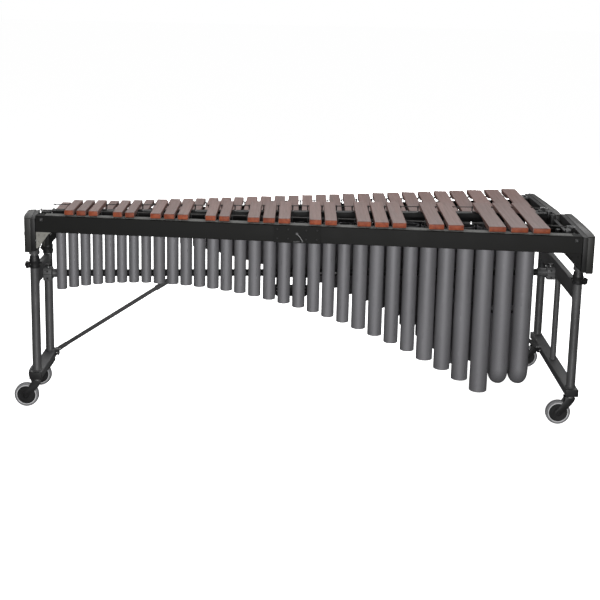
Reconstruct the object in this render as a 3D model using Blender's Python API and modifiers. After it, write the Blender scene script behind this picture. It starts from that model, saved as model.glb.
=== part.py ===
"""Concert marimba: 4.5 octaves of rosewood bars on a height-adjustable stand with swivel casters.

X runs along the keyboard (bass end +X), the audience side faces -Y, Z is up and z = 0 is the floor.
"""

import math

import bmesh
import bpy
from mathutils import Matrix, Vector

GAP = 0.0003
MERGE = 0.00001

# From the drawing's zero, between the two leg frames, to the middle of the outline with the casters trailing
TO_MIDDLE = Vector((0.02995, -0.0036, 0.0))

# Keyboard: (bar count, bar width, gap to the next bar) for each run of equal naturals, bass first
NATURAL_RUNS = (
    (4, 0.066, 0.0173),
    (3, 0.059, 0.0152),
    (4, 0.0535, 0.0141),
    (7, 0.0465, 0.0136),
    (7, 0.041, 0.0131),
    (8, 0.036, 0.0124),
)
LOWEST_NATURAL_X = 0.9416
NATURALS_FROM_F = (True, True, True, False, True, True, False)
NATURAL_TOP_Z = 0.8064
ACCIDENTAL_TOP_Z = 0.8412
BAR_THICKNESS = 0.0205
NODE_SHARE = 0.224
CORD_WIDTH = 0.004
SPLIT_AFTER_NATURAL = 13

# Straight lines in plan, as (y at x = 0, slope), that the bar ends follow
NATURAL_FAR = (0.2529, 0.2563)
NATURAL_NEAR = (-0.0651, 0.07)
ACCIDENTAL_FAR = (-0.0501, 0.07)
ACCIDENTAL_NEAR = (-0.3832, -0.0768)
ACCIDENTAL_REAR_CORD = (-0.0901, 0.07)

# Resonators: lines in plan, mouth heights and, for each bank, one tube diameter for each run of naturals
FRONT_BANK = (-0.2054, 0.0305)
REAR_BANK = (0.0939, 0.163)
FRONT_MOUTH_Z = 0.785
REAR_MOUTH_Z = 0.755
FRONT_TUBE_DIAMETERS = (0.0735, 0.0685, 0.059, 0.0515, 0.0485, 0.0412)
REAR_TUBE_DIAMETERS = (0.0735, 0.073, 0.0665, 0.0515, 0.0485, 0.0412)
TUBE_WALL = 0.0015
TUBE_SIDES = 12
FOLDED_FRONT = 2
FOLDED_REAR = 3
FOLD_RETURN_Z = 0.42
FOLDED_BOTTOM_Z = 0.104
REAR_LOWEST_Z = 0.050
ARCH_CROWN_X = -0.67
ARCH_CROWN_Z = 0.532
ARCH_BASS_RISE = 0.227
ARCH_TREBLE_RISE = 0.34
REAR_CURVE = (0.481, -0.378, -0.134)
REAR_BASS_DROP = 0.28
BANK_PLATE_Z = 0.722
BANK_PLATE_HEIGHT = 0.005
BANK_PLATE_WIDTH = 0.020

# Frame that carries the bars
RAIL_FRONT = (-0.3932, -0.0768)
RAIL_BOTTOM_Z = 0.750
RAIL_TOP_Z = 0.8165
RAIL_DEPTH = 0.020
TREBLE_FRONT_BOARD_X = (-1.108, -1.062)
TREBLE_FRONT_BOARD_Y = (-0.326, -0.235)
TREBLE_FRONT_BOARD_Z = (0.670, 0.825)
TREBLE_REAR_BOARD_X = (-1.0617, -1.030)
TREBLE_REAR_BOARD_Y = (-0.2347, 0.035)
TREBLE_REAR_BOARD_Z = (0.670, 0.822)
BASS_FRONT_BOARD_X = (1.052, 1.100)
BASS_FRONT_BOARD_Y = (-0.487, -0.095)
BASS_FRONT_BOARD_Z = (0.675, 0.824)
BASS_REAR_BOARD_X = (1.015, 1.060)
BASS_REAR_BOARD_Y = (-0.0947, 0.475)
BASS_REAR_BOARD_Z = (0.675, 0.822)
ACCIDENTAL_FRONT_SUPPORT_Z = (0.772, 0.800)
ACCIDENTAL_REAR_SUPPORT_Z = (0.790, 0.808)
NATURAL_SUPPORT_Z = (0.740, 0.778)
SUPPORT_DEPTH = 0.014
BROAD_SUPPORT_DEPTH = 0.040
POST_WIDTH = 0.004
POST_CLEARANCE = 0.006

# Stand
LEG_X = 1.084
LEG_Y = {"treble_front": -0.252, "treble_rear": -0.0165, "bass_front": -0.318, "bass_rear": 0.337}
LEG_RADIUS = 0.018
LEG_TOP_Z = 0.610
LEG_BORE_Z = 0.360
COLLAR_RADIUS = 0.0215
COLLAR_Z = (0.5895, 0.638)
KNOB_Z = 0.606
TELESCOPE_RADIUS = 0.0145
TELESCOPE_BOTTOM_Z = 0.400
SOCKET_BOTTOM_Z = 0.645
UPPER_BAR_Z = (0.520, 0.589)
UPPER_BAR_WIDTH = 0.025
LOWER_BAR_Z = (0.127, 0.157)
LOWER_BAR_WIDTH = 0.050
LOWER_BAR_OVERHANG = 0.035
UPRIGHT_RADIUS = 0.0125
BEAM_LINE = (-0.0588, 0.086)
BEAM_Z = 0.538
BEAM_RADIUS = 0.0145
BEAM_REACH = 1.034
BRACE_RADIUS = 0.0085
BRACE_FOOT_Y = {"treble": -0.005, "bass": 0.160}
BRACE_HEAD_X = 0.550
WHEEL_RADIUS = 0.050
WHEEL_WIDTH = 0.024
WHEEL_SIDES = 20
CASTER_TRAIL = 0.045
STEM_RADIUS = 0.008

BLACK = ("satin_black_paint", (0.016, 0.016, 0.017), 0.42, 0.0)
CHARCOAL = ("charcoal_paint", (0.055, 0.056, 0.058), 0.45, 0.3)
ANTHRACITE = ("anthracite_tube", (0.11, 0.113, 0.12), 0.38, 0.5)
ROSEWOOD = ("rosewood", (0.30, 0.105, 0.060), 0.40, 0.0)
BOARD = ("dark_grey_lacquer", (0.045, 0.044, 0.042), 0.5, 0.0)
PLASTIC = ("black_plastic", (0.012, 0.012, 0.013), 0.5, 0.0)
TYRE = ("grey_rubber", (0.24, 0.24, 0.24), 0.7, 0.0)
STEEL = ("bright_steel", (0.60, 0.60, 0.60), 0.3, 1.0)


def clear_scene():
    for obj in list(bpy.data.objects):
        bpy.data.objects.remove(obj, do_unlink=True)


def make_collection(name):
    collection = bpy.data.collections.new(name)
    bpy.context.scene.collection.children.link(collection)
    return collection


clear_scene()
PARTS = make_collection("concert_marimba")
CUTTERS = make_collection("cutters")


def material(look):
    name, colour, roughness, metallic = look
    found = bpy.data.materials.get(name)
    if found:
        return found
    made = bpy.data.materials.new(name)
    made.use_nodes = True
    shader = made.node_tree.nodes["Principled BSDF"]
    shader.inputs["Base Color"].default_value = (*colour, 1.0)
    shader.inputs["Roughness"].default_value = roughness
    shader.inputs["Metallic"].default_value = metallic
    return made


def place(name, mesh, look, origin=(0.0, 0.0, 0.0)):
    """Link a mesh as a named part, with its vertices given relative to origin."""
    obj = bpy.data.objects.new(name, mesh)
    mesh.materials.append(material(look))
    obj.location = TO_MIDDLE + Vector(origin)
    PARTS.objects.link(obj)
    return obj


def helper(name, mesh, origin=(0.0, 0.0, 0.0)):
    """Link a mesh as a tool for a Boolean."""
    obj = bpy.data.objects.new(name, mesh)
    obj.location = TO_MIDDLE + Vector(origin)
    obj.hide_render = True
    obj.display_type = "WIRE"
    CUTTERS.objects.link(obj)
    return obj


def to_mesh(name, shape):
    mesh = bpy.data.meshes.new(name)
    shape.to_mesh(mesh)
    shape.free()
    return mesh


def add_box(shape, low, high):
    """Add a box between two corners to a bmesh and return its vertices."""
    size = Vector(high) - Vector(low)
    centre = (Vector(high) + Vector(low)) / 2
    transform = Matrix.Translation(centre) @ Matrix.Diagonal((*size, 1.0))
    return bmesh.ops.create_cube(shape, size=1.0, matrix=transform)["verts"]


def add_cylinder(shape, radius, start, end, sides=12):
    """Add a closed cylinder between two points."""
    axis = Vector(end) - Vector(start)
    turn = Vector((0, 0, 1)).rotation_difference(axis).to_matrix().to_4x4()
    transform = Matrix.Translation((Vector(start) + Vector(end)) / 2) @ turn
    bmesh.ops.create_cone(shape, cap_ends=True, segments=sides, radius1=radius, radius2=radius,
                          depth=axis.length, matrix=transform)


def boxes_mesh(name, boxes):
    shape = bmesh.new()
    for low, high in boxes:
        add_box(shape, low, high)
    return to_mesh(name, shape)


def combine(obj, other, operation):
    modifier = obj.modifiers.new(operation.lower(), "BOOLEAN")
    modifier.operation = operation
    modifier.solver = "EXACT"
    modifier.object = other
    return modifier


def bevel(obj, width, segments=1):
    modifier = obj.modifiers.new("bevel", "BEVEL")
    modifier.width = width
    modifier.segments = segments
    modifier.limit_method = "ANGLE"


def smooth(obj):
    obj.data.shade_smooth()
    obj.data.set_sharp_from_angle(angle=math.radians(40))


def turned(name, profile, look, origin, direction=(0, 0, 1), sides=12):
    """A turned piece: a profile of (radius, height) points swept about its own axis.

    The profile runs down the outer side. It starts on the axis, or closes on itself round a bore.
    """
    shape = bmesh.new()
    points = [shape.verts.new((radius, 0.0, height)) for radius, height in profile]
    following = points[1:] + points[:1] if profile[0][0] > 0.0 else points[1:]
    for first, second in zip(points, following):
        shape.edges.new((first, second))
    obj = place(name, to_mesh(name, shape), look, origin)
    screw = obj.modifiers.new("screw", "SCREW")
    screw.steps = sides
    screw.render_steps = sides
    screw.use_merge_vertices = True
    screw.merge_threshold = MERGE
    obj.rotation_euler = Vector((0, 0, 1)).rotation_difference(Vector(direction)).to_euler()
    return obj


def hull(shape):
    """Wrap everything in a bmesh in its convex hull."""
    bmesh.ops.delete(shape, geom=shape.edges[:], context="EDGES_FACES")
    bmesh.ops.convex_hull(shape, input=shape.verts)
    inside = [vert for vert in shape.verts if not vert.link_faces]
    bmesh.ops.delete(shape, geom=inside, context="VERTS")
    return shape


def line_y(line, x):
    return line[0] + line[1] * x


# ---- positions of the notes -------------------------------------------------------------------


def natural_bars():
    """(centre x, width, run index) of each natural, from the lowest note up."""
    bars = []
    x = LOWEST_NATURAL_X
    for run, (count, width, gap) in enumerate(NATURAL_RUNS):
        for _ in range(count):
            if bars:
                x -= (bars[-1][1] + width) / 2 + gap
            bars.append((x, width, run))
    return bars


NATURALS = natural_bars()
LAST = len(NATURALS) - 1
SPLIT_X = (NATURALS[SPLIT_AFTER_NATURAL][0] + NATURALS[SPLIT_AFTER_NATURAL + 1][0]) / 2


def slot(index):
    """(centre x, mean width, run index) of the place between a natural and the next one up."""
    low, high = NATURALS[index], NATURALS[index + 1]
    return (low[0] + high[0]) / 2, (low[1] + high[1]) / 2, high[2]


def has_accidental(index):
    return NATURALS_FROM_F[index % 7]


SLOTS = [slot(index) for index in range(LAST)]
ACCIDENTALS = [SLOTS[index] for index in range(LAST) if has_accidental(index)]


# ---- bars on their cords -----------------------------------------------------------------------


def node_lines(near, far):
    """The two lines in plan on which the bars hang, a fixed share of the length from each end."""
    length = (far[0] - near[0], far[1] - near[1])
    front = (near[0] + NODE_SHARE * length[0], near[1] + NODE_SHARE * length[1])
    rear = (far[0] - NODE_SHARE * length[0], far[1] - NODE_SHARE * length[1])
    return front, rear


def add_sheared_box(shape, x_range, line, depth, z_range):
    """A box whose middle follows a line in plan, with its ends square to X."""
    for vert in add_box(shape, (x_range[0], -depth / 2, z_range[0]), (x_range[1], depth / 2, z_range[1])):
        vert.co.y += line_y(line, vert.co.x)


NATURAL_CORDS = node_lines(NATURAL_NEAR, NATURAL_FAR)
ACCIDENTAL_CORDS = (node_lines(ACCIDENTAL_NEAR, ACCIDENTAL_FAR)[0], ACCIDENTAL_REAR_CORD)


def bar_set(name, bars, near, far, cord_lines, top_z):
    """Bars threaded on two cords that pass through the middle of their thickness."""
    shape = bmesh.new()
    for x, width, _ in bars:
        low = (x - width / 2, line_y(near, x), top_z - BAR_THICKNESS)
        high = (x + width / 2, line_y(far, x), top_z)
        add_box(shape, low, high)
    obj = place(name, to_mesh(name, shape), ROSEWOOD)
    cords = bmesh.new()
    middle_z = top_z - BAR_THICKNESS / 2
    ends = (min(bars)[0], max(bars)[0])
    for line in cord_lines:
        add_sheared_box(cords, ends, line, CORD_WIDTH, (middle_z - CORD_WIDTH / 2, middle_z + CORD_WIDTH / 2))
    combine(obj, helper(name + "_cords", to_mesh(name + "_cords", cords)), "UNION")
    return obj


def build_bars():
    for end, keep in (("bass", lambda x: x > SPLIT_X), ("treble", lambda x: x < SPLIT_X)):
        naturals = [bar for bar in NATURALS if keep(bar[0])]
        accidentals = [bar for bar in ACCIDENTALS if keep(bar[0])]
        bar_set(end + "_natural_bars", naturals, NATURAL_NEAR, NATURAL_FAR, NATURAL_CORDS, NATURAL_TOP_Z)
        bar_set(end + "_accidental_bars", accidentals, ACCIDENTAL_NEAR, ACCIDENTAL_FAR, ACCIDENTAL_CORDS,
                ACCIDENTAL_TOP_Z)


# ---- rails that carry the cords ----------------------------------------------------------------


def post_places(bars):
    """x of the cord posts: one in each gap between neighbours and one outside each end bar."""
    spread = sorted(bars)
    places = [spread[0][0] - spread[0][1] / 2 - POST_CLEARANCE]
    for low, high in zip(spread, spread[1:]):
        left = low[0] + low[1] / 2
        right = high[0] - high[1] / 2
        wide = right - left > 5 * POST_CLEARANCE
        places += [left + POST_CLEARANCE, right - POST_CLEARANCE] if wide else [(left + right) / 2]
    places.append(spread[-1][0] + spread[-1][1] / 2 + POST_CLEARANCE)
    return places


def support_rail(name, bars, line, depth, z_range, ends, top_z):
    """A rail under one cord, with a post beside the cord in each gap between bars."""
    shape = bmesh.new()
    add_sheared_box(shape, ends, line, depth, z_range)
    obj = place(name, to_mesh(name, shape), BLACK)
    posts = bmesh.new()
    offset = CORD_WIDTH / 2 + GAP + POST_WIDTH / 2 * (1 + abs(line[1]))
    cord_top = top_z - BAR_THICKNESS / 2 + CORD_WIDTH
    for x in post_places(bars):
        y = line_y(line, x) + offset
        half = POST_WIDTH / 2
        add_box(posts, (x - half, y - half, z_range[1] - half), (x + half, y + half, cord_top))
    combine(obj, helper(name + "_posts", to_mesh(name + "_posts", posts)), "UNION")
    return obj


def build_support_rails():
    front_ends = (TREBLE_FRONT_BOARD_X[1] + GAP, BASS_FRONT_BOARD_X[0] - GAP)
    rear_ends = (TREBLE_REAR_BOARD_X[1] + GAP, BASS_REAR_BOARD_X[0] - GAP)
    front, rear = ACCIDENTAL_CORDS
    support_rail("accidental_front_support", ACCIDENTALS, front, SUPPORT_DEPTH, ACCIDENTAL_FRONT_SUPPORT_Z,
                 front_ends, ACCIDENTAL_TOP_Z)
    support_rail("accidental_rear_support", ACCIDENTALS, rear, BROAD_SUPPORT_DEPTH, ACCIDENTAL_REAR_SUPPORT_Z,
                 rear_ends, ACCIDENTAL_TOP_Z)
    for name, line in zip(("natural_front_support", "natural_rear_support"), NATURAL_CORDS):
        support_rail(name, NATURALS, line, SUPPORT_DEPTH, NATURAL_SUPPORT_Z, rear_ends, NATURAL_TOP_Z)


# ---- resonators --------------------------------------------------------------------------------


def front_bottom(index, x):
    """Bottom of a front tube: a decorative arch, with the two folded bass tubes a little shorter."""
    if index < FOLDED_FRONT:
        return FOLDED_BOTTOM_Z
    rise = ARCH_BASS_RISE if x > ARCH_CROWN_X else ARCH_TREBLE_RISE
    return ARCH_CROWN_Z - rise * (x - ARCH_CROWN_X) ** 2


def rear_bottom(x):
    """Bottom of a rear tube: a steady curve from short treble tubes to the folded bass tubes."""
    level, slope, curve = REAR_CURVE
    return max(REAR_LOWEST_Z, level + slope * x + curve * x * x - REAR_BASS_DROP * max(x, 0.0) ** 3)


def add_folded_end(shape, x, y, radius, bottom):
    """The U-turn of a folded tube, from the bottom of its front leg up to the end of its rear leg."""
    bend_z = bottom + 2 * radius
    rear_y = y + 2 * radius
    outline = bpy.data.curves.new("folded_tube", "CURVE")
    outline.dimensions = "3D"
    outline.bevel_depth = radius
    outline.bevel_resolution = TUBE_SIDES // 2 - 2
    outline.use_fill_caps = True
    route = outline.splines.new("POLY")
    bend = [(y + radius - radius * math.cos(a), bend_z - radius * math.sin(a))
            for a in (math.pi * step / 6 for step in range(7))]
    points = [(y, bend_z + 0.02), *bend, (rear_y, FOLD_RETURN_Z)]
    route.points.add(len(points) - 1)
    for point, (py, pz) in zip(route.points, points):
        point.co = (x, py, pz, 1.0)
    temporary = bpy.data.objects.new("folded_tube", outline)
    PARTS.objects.link(temporary)
    evaluated = temporary.evaluated_get(bpy.context.evaluated_depsgraph_get())
    mesh = bpy.data.meshes.new_from_object(evaluated)
    shape.from_mesh(mesh)
    bmesh.ops.remove_doubles(shape, verts=shape.verts, dist=MERGE)
    bpy.data.objects.remove(temporary)


def resonator_bank(name, tubes, line, mouth_z, ends):
    """Tubes closed at the bottom, joined by the plate that they hang from.

    tubes holds (x, radius, bottom z, folded) for each tube.
    """
    outer = bmesh.new()
    bores = bmesh.new()
    folds = bmesh.new()
    for x, radius, bottom, folded in tubes:
        y = line_y(line, x)
        foot = bottom + 2 * radius if folded else bottom
        add_cylinder(outer, radius, (x, y, foot), (x, y, mouth_z), TUBE_SIDES)
        inner = radius - TUBE_WALL
        add_cylinder(bores, inner, (x, y, foot + 3 * TUBE_WALL), (x, y, mouth_z + 0.01), TUBE_SIDES)
        if folded:
            add_folded_end(folds, x, y, radius - GAP, bottom)
    obj = place(name, to_mesh(name, outer), ANTHRACITE)
    plate = bmesh.new()
    z_range = (BANK_PLATE_Z, BANK_PLATE_Z + BANK_PLATE_HEIGHT)
    add_sheared_box(plate, ends, line, BANK_PLATE_WIDTH, z_range)
    combine(obj, helper(name + "_plate", to_mesh(name + "_plate", plate)), "UNION")
    if folds.verts:
        combine(obj, helper(name + "_folds", to_mesh(name + "_folds", folds)), "UNION")
    else:
        folds.free()
    combine(obj, helper(name + "_bores", to_mesh(name + "_bores", bores)), "DIFFERENCE")
    smooth(obj)
    return obj


def build_resonators():
    treble_end = TREBLE_REAR_BOARD_X[1] + GAP
    front = []
    for index, (x, _, run) in enumerate(SLOTS):
        radius = FRONT_TUBE_DIAMETERS[run] / 2
        front.append((x, radius, front_bottom(index, x), index < FOLDED_FRONT))
    rear = []
    for index, (x, _, run) in enumerate(NATURALS):
        radius = REAR_TUBE_DIAMETERS[run] / 2
        rear.append((x, radius, rear_bottom(x), index < FOLDED_REAR))
    front_split = NATURALS[SPLIT_AFTER_NATURAL + 1][0]
    banks = (
        ("front_resonators", front, FRONT_BANK, FRONT_MOUTH_Z, front_split, BASS_FRONT_BOARD_X[0] - GAP),
        ("rear_resonators", rear, REAR_BANK, REAR_MOUTH_Z, SPLIT_X, BASS_REAR_BOARD_X[0] - GAP),
    )
    for name, tubes, line, mouth_z, split, bass_end in banks:
        bass = [tube for tube in tubes if tube[0] > split]
        treble = [tube for tube in tubes if tube[0] < split]
        resonator_bank("bass_" + name, bass, line, mouth_z, (split + GAP / 2, bass_end))
        resonator_bank("treble_" + name, treble, line, mouth_z, (treble_end, split - GAP / 2))


# ---- front rail, splice plate and latch --------------------------------------------------------

SPLICE_X = (-0.122, 0.060)
SPLICE_THICKNESS = 0.003
LATCH_PIVOT = (-0.032, 0.786)
LATCH_LENGTH = 0.036
LATCH_WIDTH = 0.009


def build_front_rail():
    middle = (RAIL_FRONT[0] + RAIL_DEPTH / 2, RAIL_FRONT[1])
    split = (SPLICE_X[0] + SPLICE_X[1]) / 2
    spans = {
        "treble_front_rail": (TREBLE_FRONT_BOARD_X[1] + GAP, split - GAP / 2),
        "bass_front_rail": (split + GAP / 2, BASS_FRONT_BOARD_X[0] - GAP),
    }
    for name, x_range in spans.items():
        shape = bmesh.new()
        add_sheared_box(shape, x_range, middle, RAIL_DEPTH, (RAIL_BOTTOM_Z, RAIL_TOP_Z))
        place(name, to_mesh(name, shape), BLACK)
    face = (RAIL_FRONT[0] - GAP - SPLICE_THICKNESS / 2, RAIL_FRONT[1])
    shape = bmesh.new()
    add_sheared_box(shape, SPLICE_X, face, SPLICE_THICKNESS, (RAIL_BOTTOM_Z - 0.002, RAIL_TOP_Z))
    place("splice_plate", to_mesh("splice_plate", shape), BLACK)
    build_latch()


def build_latch():
    """A flat hook that turns on a stud in front of the splice plate."""
    x, z = LATCH_PIVOT
    y = line_y(RAIL_FRONT, x) - 2 * GAP - SPLICE_THICKNESS - 0.002
    half = LATCH_WIDTH / 2
    reach = Vector((0.6, 0.0, -0.8)) * LATCH_LENGTH
    thickness = Vector((0.0, 0.003, 0.0))
    shape = bmesh.new()
    add_cylinder(shape, half, -thickness / 2, thickness / 2, 10)
    add_cylinder(shape, half * 0.7, reach - thickness / 2, reach + thickness / 2, 10)
    hook = place("latch_hook", to_mesh("latch_hook", hull(shape)), STEEL, (x, y, z))
    hook.rotation_euler.z = math.atan(RAIL_FRONT[1])


# ---- end boards --------------------------------------------------------------------------------


GUSSET_THICKNESS = 0.004
GUSSET_REACH = 0.062
ARM_WIDTH = 0.034
ARM_THICKNESS = 0.010


def add_gusset(shape, x, y, z_low, towards):
    """A three-cornered plate under the front rail, running into the end board at x."""
    high = RAIL_BOTTOM_Z - GAP - 0.003
    corners = ((x - towards * 0.01, high), (x + towards * GUSSET_REACH, high), (x - towards * 0.01, z_low))
    for corner_x, corner_z in corners:
        start = (corner_x, y, corner_z)
        add_cylinder(shape, 0.003, start, (corner_x, y + GUSSET_THICKNESS, corner_z), 6)
    return hull(shape)


def board(name, x_range, y_range, z_range, sockets, drops=(0.0, 0.0), gusset=None, arm_x=None):
    """A rounded end board with the sockets that the telescopes stand under.

    drops lower the front and the rear end of its top edge.
    arm_x is the far side of a bracket that reaches out to a socket beside the board.
    """
    shape = bmesh.new()
    low = (x_range[0], y_range[0], z_range[0])
    high = (x_range[1], y_range[1], z_range[1])
    for vert in add_box(shape, low, high):
        if vert.co.z > z_range[1] - GAP:
            vert.co.z -= drops[1] if vert.co.y > y_range[1] - GAP else drops[0]
    obj = place(name, to_mesh(name, shape), BOARD)
    bevel(obj, 0.006, 2)
    pads = bmesh.new()
    for x, y in sockets:
        add_cylinder(pads, 0.021, (x, y, SOCKET_BOTTOM_Z), (x, y, z_range[0] + 0.013), 12)
    combine(obj, helper(name + "_sockets", to_mesh(name + "_sockets", pads)), "UNION")
    if arm_x:
        bracket = bmesh.new()
        near, far = sorted((sum(x_range) / 2, arm_x))
        for _, y in sockets:
            low = (near, y - ARM_WIDTH / 2, z_range[0] + 0.001)
            add_box(bracket, low, (far, y + ARM_WIDTH / 2, z_range[0] + 0.001 + ARM_THICKNESS))
        combine(obj, helper(name + "_arm", to_mesh(name + "_arm", bracket)), "UNION")
    if gusset:
        plate = add_gusset(bmesh.new(), *gusset)
        combine(obj, helper(name + "_gusset", to_mesh(name + "_gusset", plate)), "UNION")
    return obj


def build_end_boards():
    inner_x = TREBLE_FRONT_BOARD_X[1]
    gusset = (inner_x, line_y(RAIL_FRONT, inner_x) + 0.004, TREBLE_FRONT_BOARD_Z[0] + 0.012, 1)
    board("treble_front_end_board", TREBLE_FRONT_BOARD_X, TREBLE_FRONT_BOARD_Y, TREBLE_FRONT_BOARD_Z,
          [(-LEG_X, LEG_Y["treble_front"])], drops=(0.011, 0.0), gusset=gusset)
    board("treble_rear_end_board", TREBLE_REAR_BOARD_X, TREBLE_REAR_BOARD_Y, TREBLE_REAR_BOARD_Z,
          [(-LEG_X, LEG_Y["treble_rear"])], drops=(0.0, 0.055), arm_x=-LEG_X - ARM_WIDTH / 2)
    inner_x = BASS_FRONT_BOARD_X[0]
    gusset = (inner_x, line_y(RAIL_FRONT, inner_x) + 0.009, BASS_FRONT_BOARD_Z[0] + 0.012, -1)
    board("bass_front_end_board", BASS_FRONT_BOARD_X, BASS_FRONT_BOARD_Y, BASS_FRONT_BOARD_Z,
          [(LEG_X, LEG_Y["bass_front"])], gusset=gusset)
    board("bass_rear_end_board", BASS_REAR_BOARD_X, BASS_REAR_BOARD_Y, BASS_REAR_BOARD_Z,
          [(LEG_X, LEG_Y["bass_rear"])], drops=(0.0, 0.03), arm_x=LEG_X + ARM_WIDTH / 2)


# ---- legs --------------------------------------------------------------------------------------

KNOB_PROFILE = ((0, 0.015), (0.013, 0.015), (0.015, 0.012), (0.015, 0.006), (0.005, 0.004), (0.005, 0), (0, 0))


def build_knob(name, origin, direction, size=1.0):
    """A hand screw: its foot stands on the clamp at origin, its head points along direction."""
    profile = [(radius * size, height * size) for radius, height in KNOB_PROFILE]
    obj = turned(name, profile, PLASTIC, origin, direction, sides=10)
    smooth(obj)


def build_leg(name, x, y):
    """A fixed leg tube, the telescope that slides in it, and the collar and knob that lock it."""
    foot = LOWER_BAR_Z[1] + GAP
    bore = TELESCOPE_RADIUS + GAP
    profile = ((0, LEG_BORE_Z), (bore, LEG_BORE_Z), (bore, LEG_TOP_Z), (LEG_RADIUS, LEG_TOP_Z),
               (LEG_RADIUS, foot), (0, foot))
    smooth(turned(name + "_leg", profile, CHARCOAL, (x, y, 0)))
    top = SOCKET_BOTTOM_Z - GAP
    profile = ((0, top), (TELESCOPE_RADIUS, top), (TELESCOPE_RADIUS, TELESCOPE_BOTTOM_Z), (0, TELESCOPE_BOTTOM_Z))
    smooth(turned(name + "_telescope", profile, CHARCOAL, (x, y, 0)))
    grip = LEG_RADIUS + GAP
    step_z = LEG_TOP_Z + GAP
    profile = ((COLLAR_RADIUS, COLLAR_Z[1]), (COLLAR_RADIUS, COLLAR_Z[0]), (grip, COLLAR_Z[0]), (grip, step_z),
               (bore, step_z), (bore, COLLAR_Z[1]))
    smooth(turned(name + "_collar", profile, PLASTIC, (x, y, 0)))
    outward = Vector((math.copysign(1, x), -1 if name.endswith("front") else 1, 0)).normalized()
    start = Vector((x, y, KNOB_Z)) + outward * (COLLAR_RADIUS + GAP)
    build_knob(name + "_leg_knob", start, outward)


def build_caster(name, x, y):
    """A swivel fork whose stem turns in the lower crossbar, and the wheel on its axle."""
    crown_top = LOWER_BAR_Z[0] - GAP
    arm_inner = WHEEL_WIDTH / 2 + 0.0015
    arm_outer = arm_inner + 0.004
    hub = Vector((-CASTER_TRAIL, 0, WHEEL_RADIUS))
    crown = bmesh.new()
    crown_half = arm_outer - 0.001
    add_box(crown, (-0.020, -crown_half, 0.107), (0.018, crown_half, 0.118))
    obj = place(name + "_caster_fork", to_mesh(name + "_caster_fork", crown), PLASTIC, (x, y, 0))
    pins = bmesh.new()
    add_cylinder(pins, 0.017, (0, 0, 0.112), (0, 0, crown_top), 12)
    pieces = [pins]
    for side in (-1, 1):
        arm = bmesh.new()
        inner, outer = sorted((side * arm_inner, side * arm_outer))
        add_box(arm, (-0.017, inner, 0.108), (0.015, outer, 0.117))
        add_cylinder(arm, 0.014, hub + Vector((0, inner, 0)), hub + Vector((0, outer, 0)), 10)
        pieces.append(hull(arm))
    axle = bmesh.new()
    reach = Vector((0, arm_outer - 0.001, 0))
    add_cylinder(axle, 0.004, hub - reach, hub + reach, 8)
    pieces.append(axle)
    stem = bmesh.new()
    add_cylinder(stem, STEM_RADIUS, (0, 0, 0.115), (0, 0, LOWER_BAR_Z[1] - 0.008), 10)
    pieces.append(stem)
    for index, piece in enumerate(pieces):
        part_name = f"{name}_fork_piece_{index}"
        combine(obj, helper(part_name, to_mesh(part_name, piece), (x, y, 0)), "UNION")
    hub_half = arm_inner - 0.0005
    half = WHEEL_WIDTH / 2
    face = ((0.0045, hub_half), (0.036, half - 0.002), (0.045, half - 0.0005), (WHEEL_RADIUS, half - 0.006))
    profile = [*face, *((radius, -height) for radius, height in reversed(face))]
    axle_place = Vector((x, y, 0)) + hub
    smooth(turned(name + "_caster_wheel", profile, TYRE, axle_place, (0, 1, 0), sides=WHEEL_SIDES))


def build_end_frame(end, sign):
    """The welded crossbars of one end of the stand, with the sockets for its two casters."""
    x = sign * LEG_X
    front, rear = LEG_Y[end + "_front"], LEG_Y[end + "_rear"]
    half = UPPER_BAR_WIDTH / 2
    low = (x - half, front + LEG_RADIUS + GAP, UPPER_BAR_Z[0])
    high = (x + half, rear - LEG_RADIUS - GAP, UPPER_BAR_Z[1])
    bar = place(end + "_upper_crossbar", boxes_mesh(end + "_upper_crossbar", [(low, high)]), CHARCOAL)
    bevel(bar, 0.002)
    half = LOWER_BAR_WIDTH / 2
    low = (x - half, front - LOWER_BAR_OVERHANG, LOWER_BAR_Z[0])
    high = (x + half, rear + LOWER_BAR_OVERHANG, LOWER_BAR_Z[1])
    bar = place(end + "_lower_crossbar", boxes_mesh(end + "_lower_crossbar", [(low, high)]), CHARCOAL)
    bevel(bar, 0.003)
    bores = bmesh.new()
    for y in (front, rear):
        low, high = (x, y, LOWER_BAR_Z[0] - 0.01), (x, y, LOWER_BAR_Z[1] - 0.006)
        add_cylinder(bores, STEM_RADIUS + 2 * GAP, low, high, 16)
    combine(bar, helper(end + "_stem_bores", to_mesh(end + "_stem_bores", bores)), "DIFFERENCE")
    for place_name, y in (("front", front), ("rear", rear)):
        build_leg(f"{end}_{place_name}", x, y)
        build_caster(f"{end}_{place_name}", x, y)


def build_middle_upright():
    y = (LEG_Y["bass_front"] + LEG_Y["bass_rear"]) / 2
    low, high = LOWER_BAR_Z[1] + GAP, UPPER_BAR_Z[0] - GAP
    profile = ((0, high), (UPRIGHT_RADIUS, high), (UPRIGHT_RADIUS, low), (0, low))
    smooth(turned("bass_middle_upright", profile, CHARCOAL, (LEG_X, y, 0)))


# ---- beam between the ends, with its clamps, joint and braces ----------------------------------

CLAMP_HALF = 0.022
CLAMP_Z = (0.508, 0.5625)
CLAMP_INNER_X = 1.036
JOINT_X = (-0.122, 0.016)
JOINT_PLATE_Z = (0.436, 0.484)
HANGER_WIDTH = 0.012


def beam_point(x, drop=0.0):
    return Vector((x, line_y(BEAM_LINE, x), BEAM_Z - drop))


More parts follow.
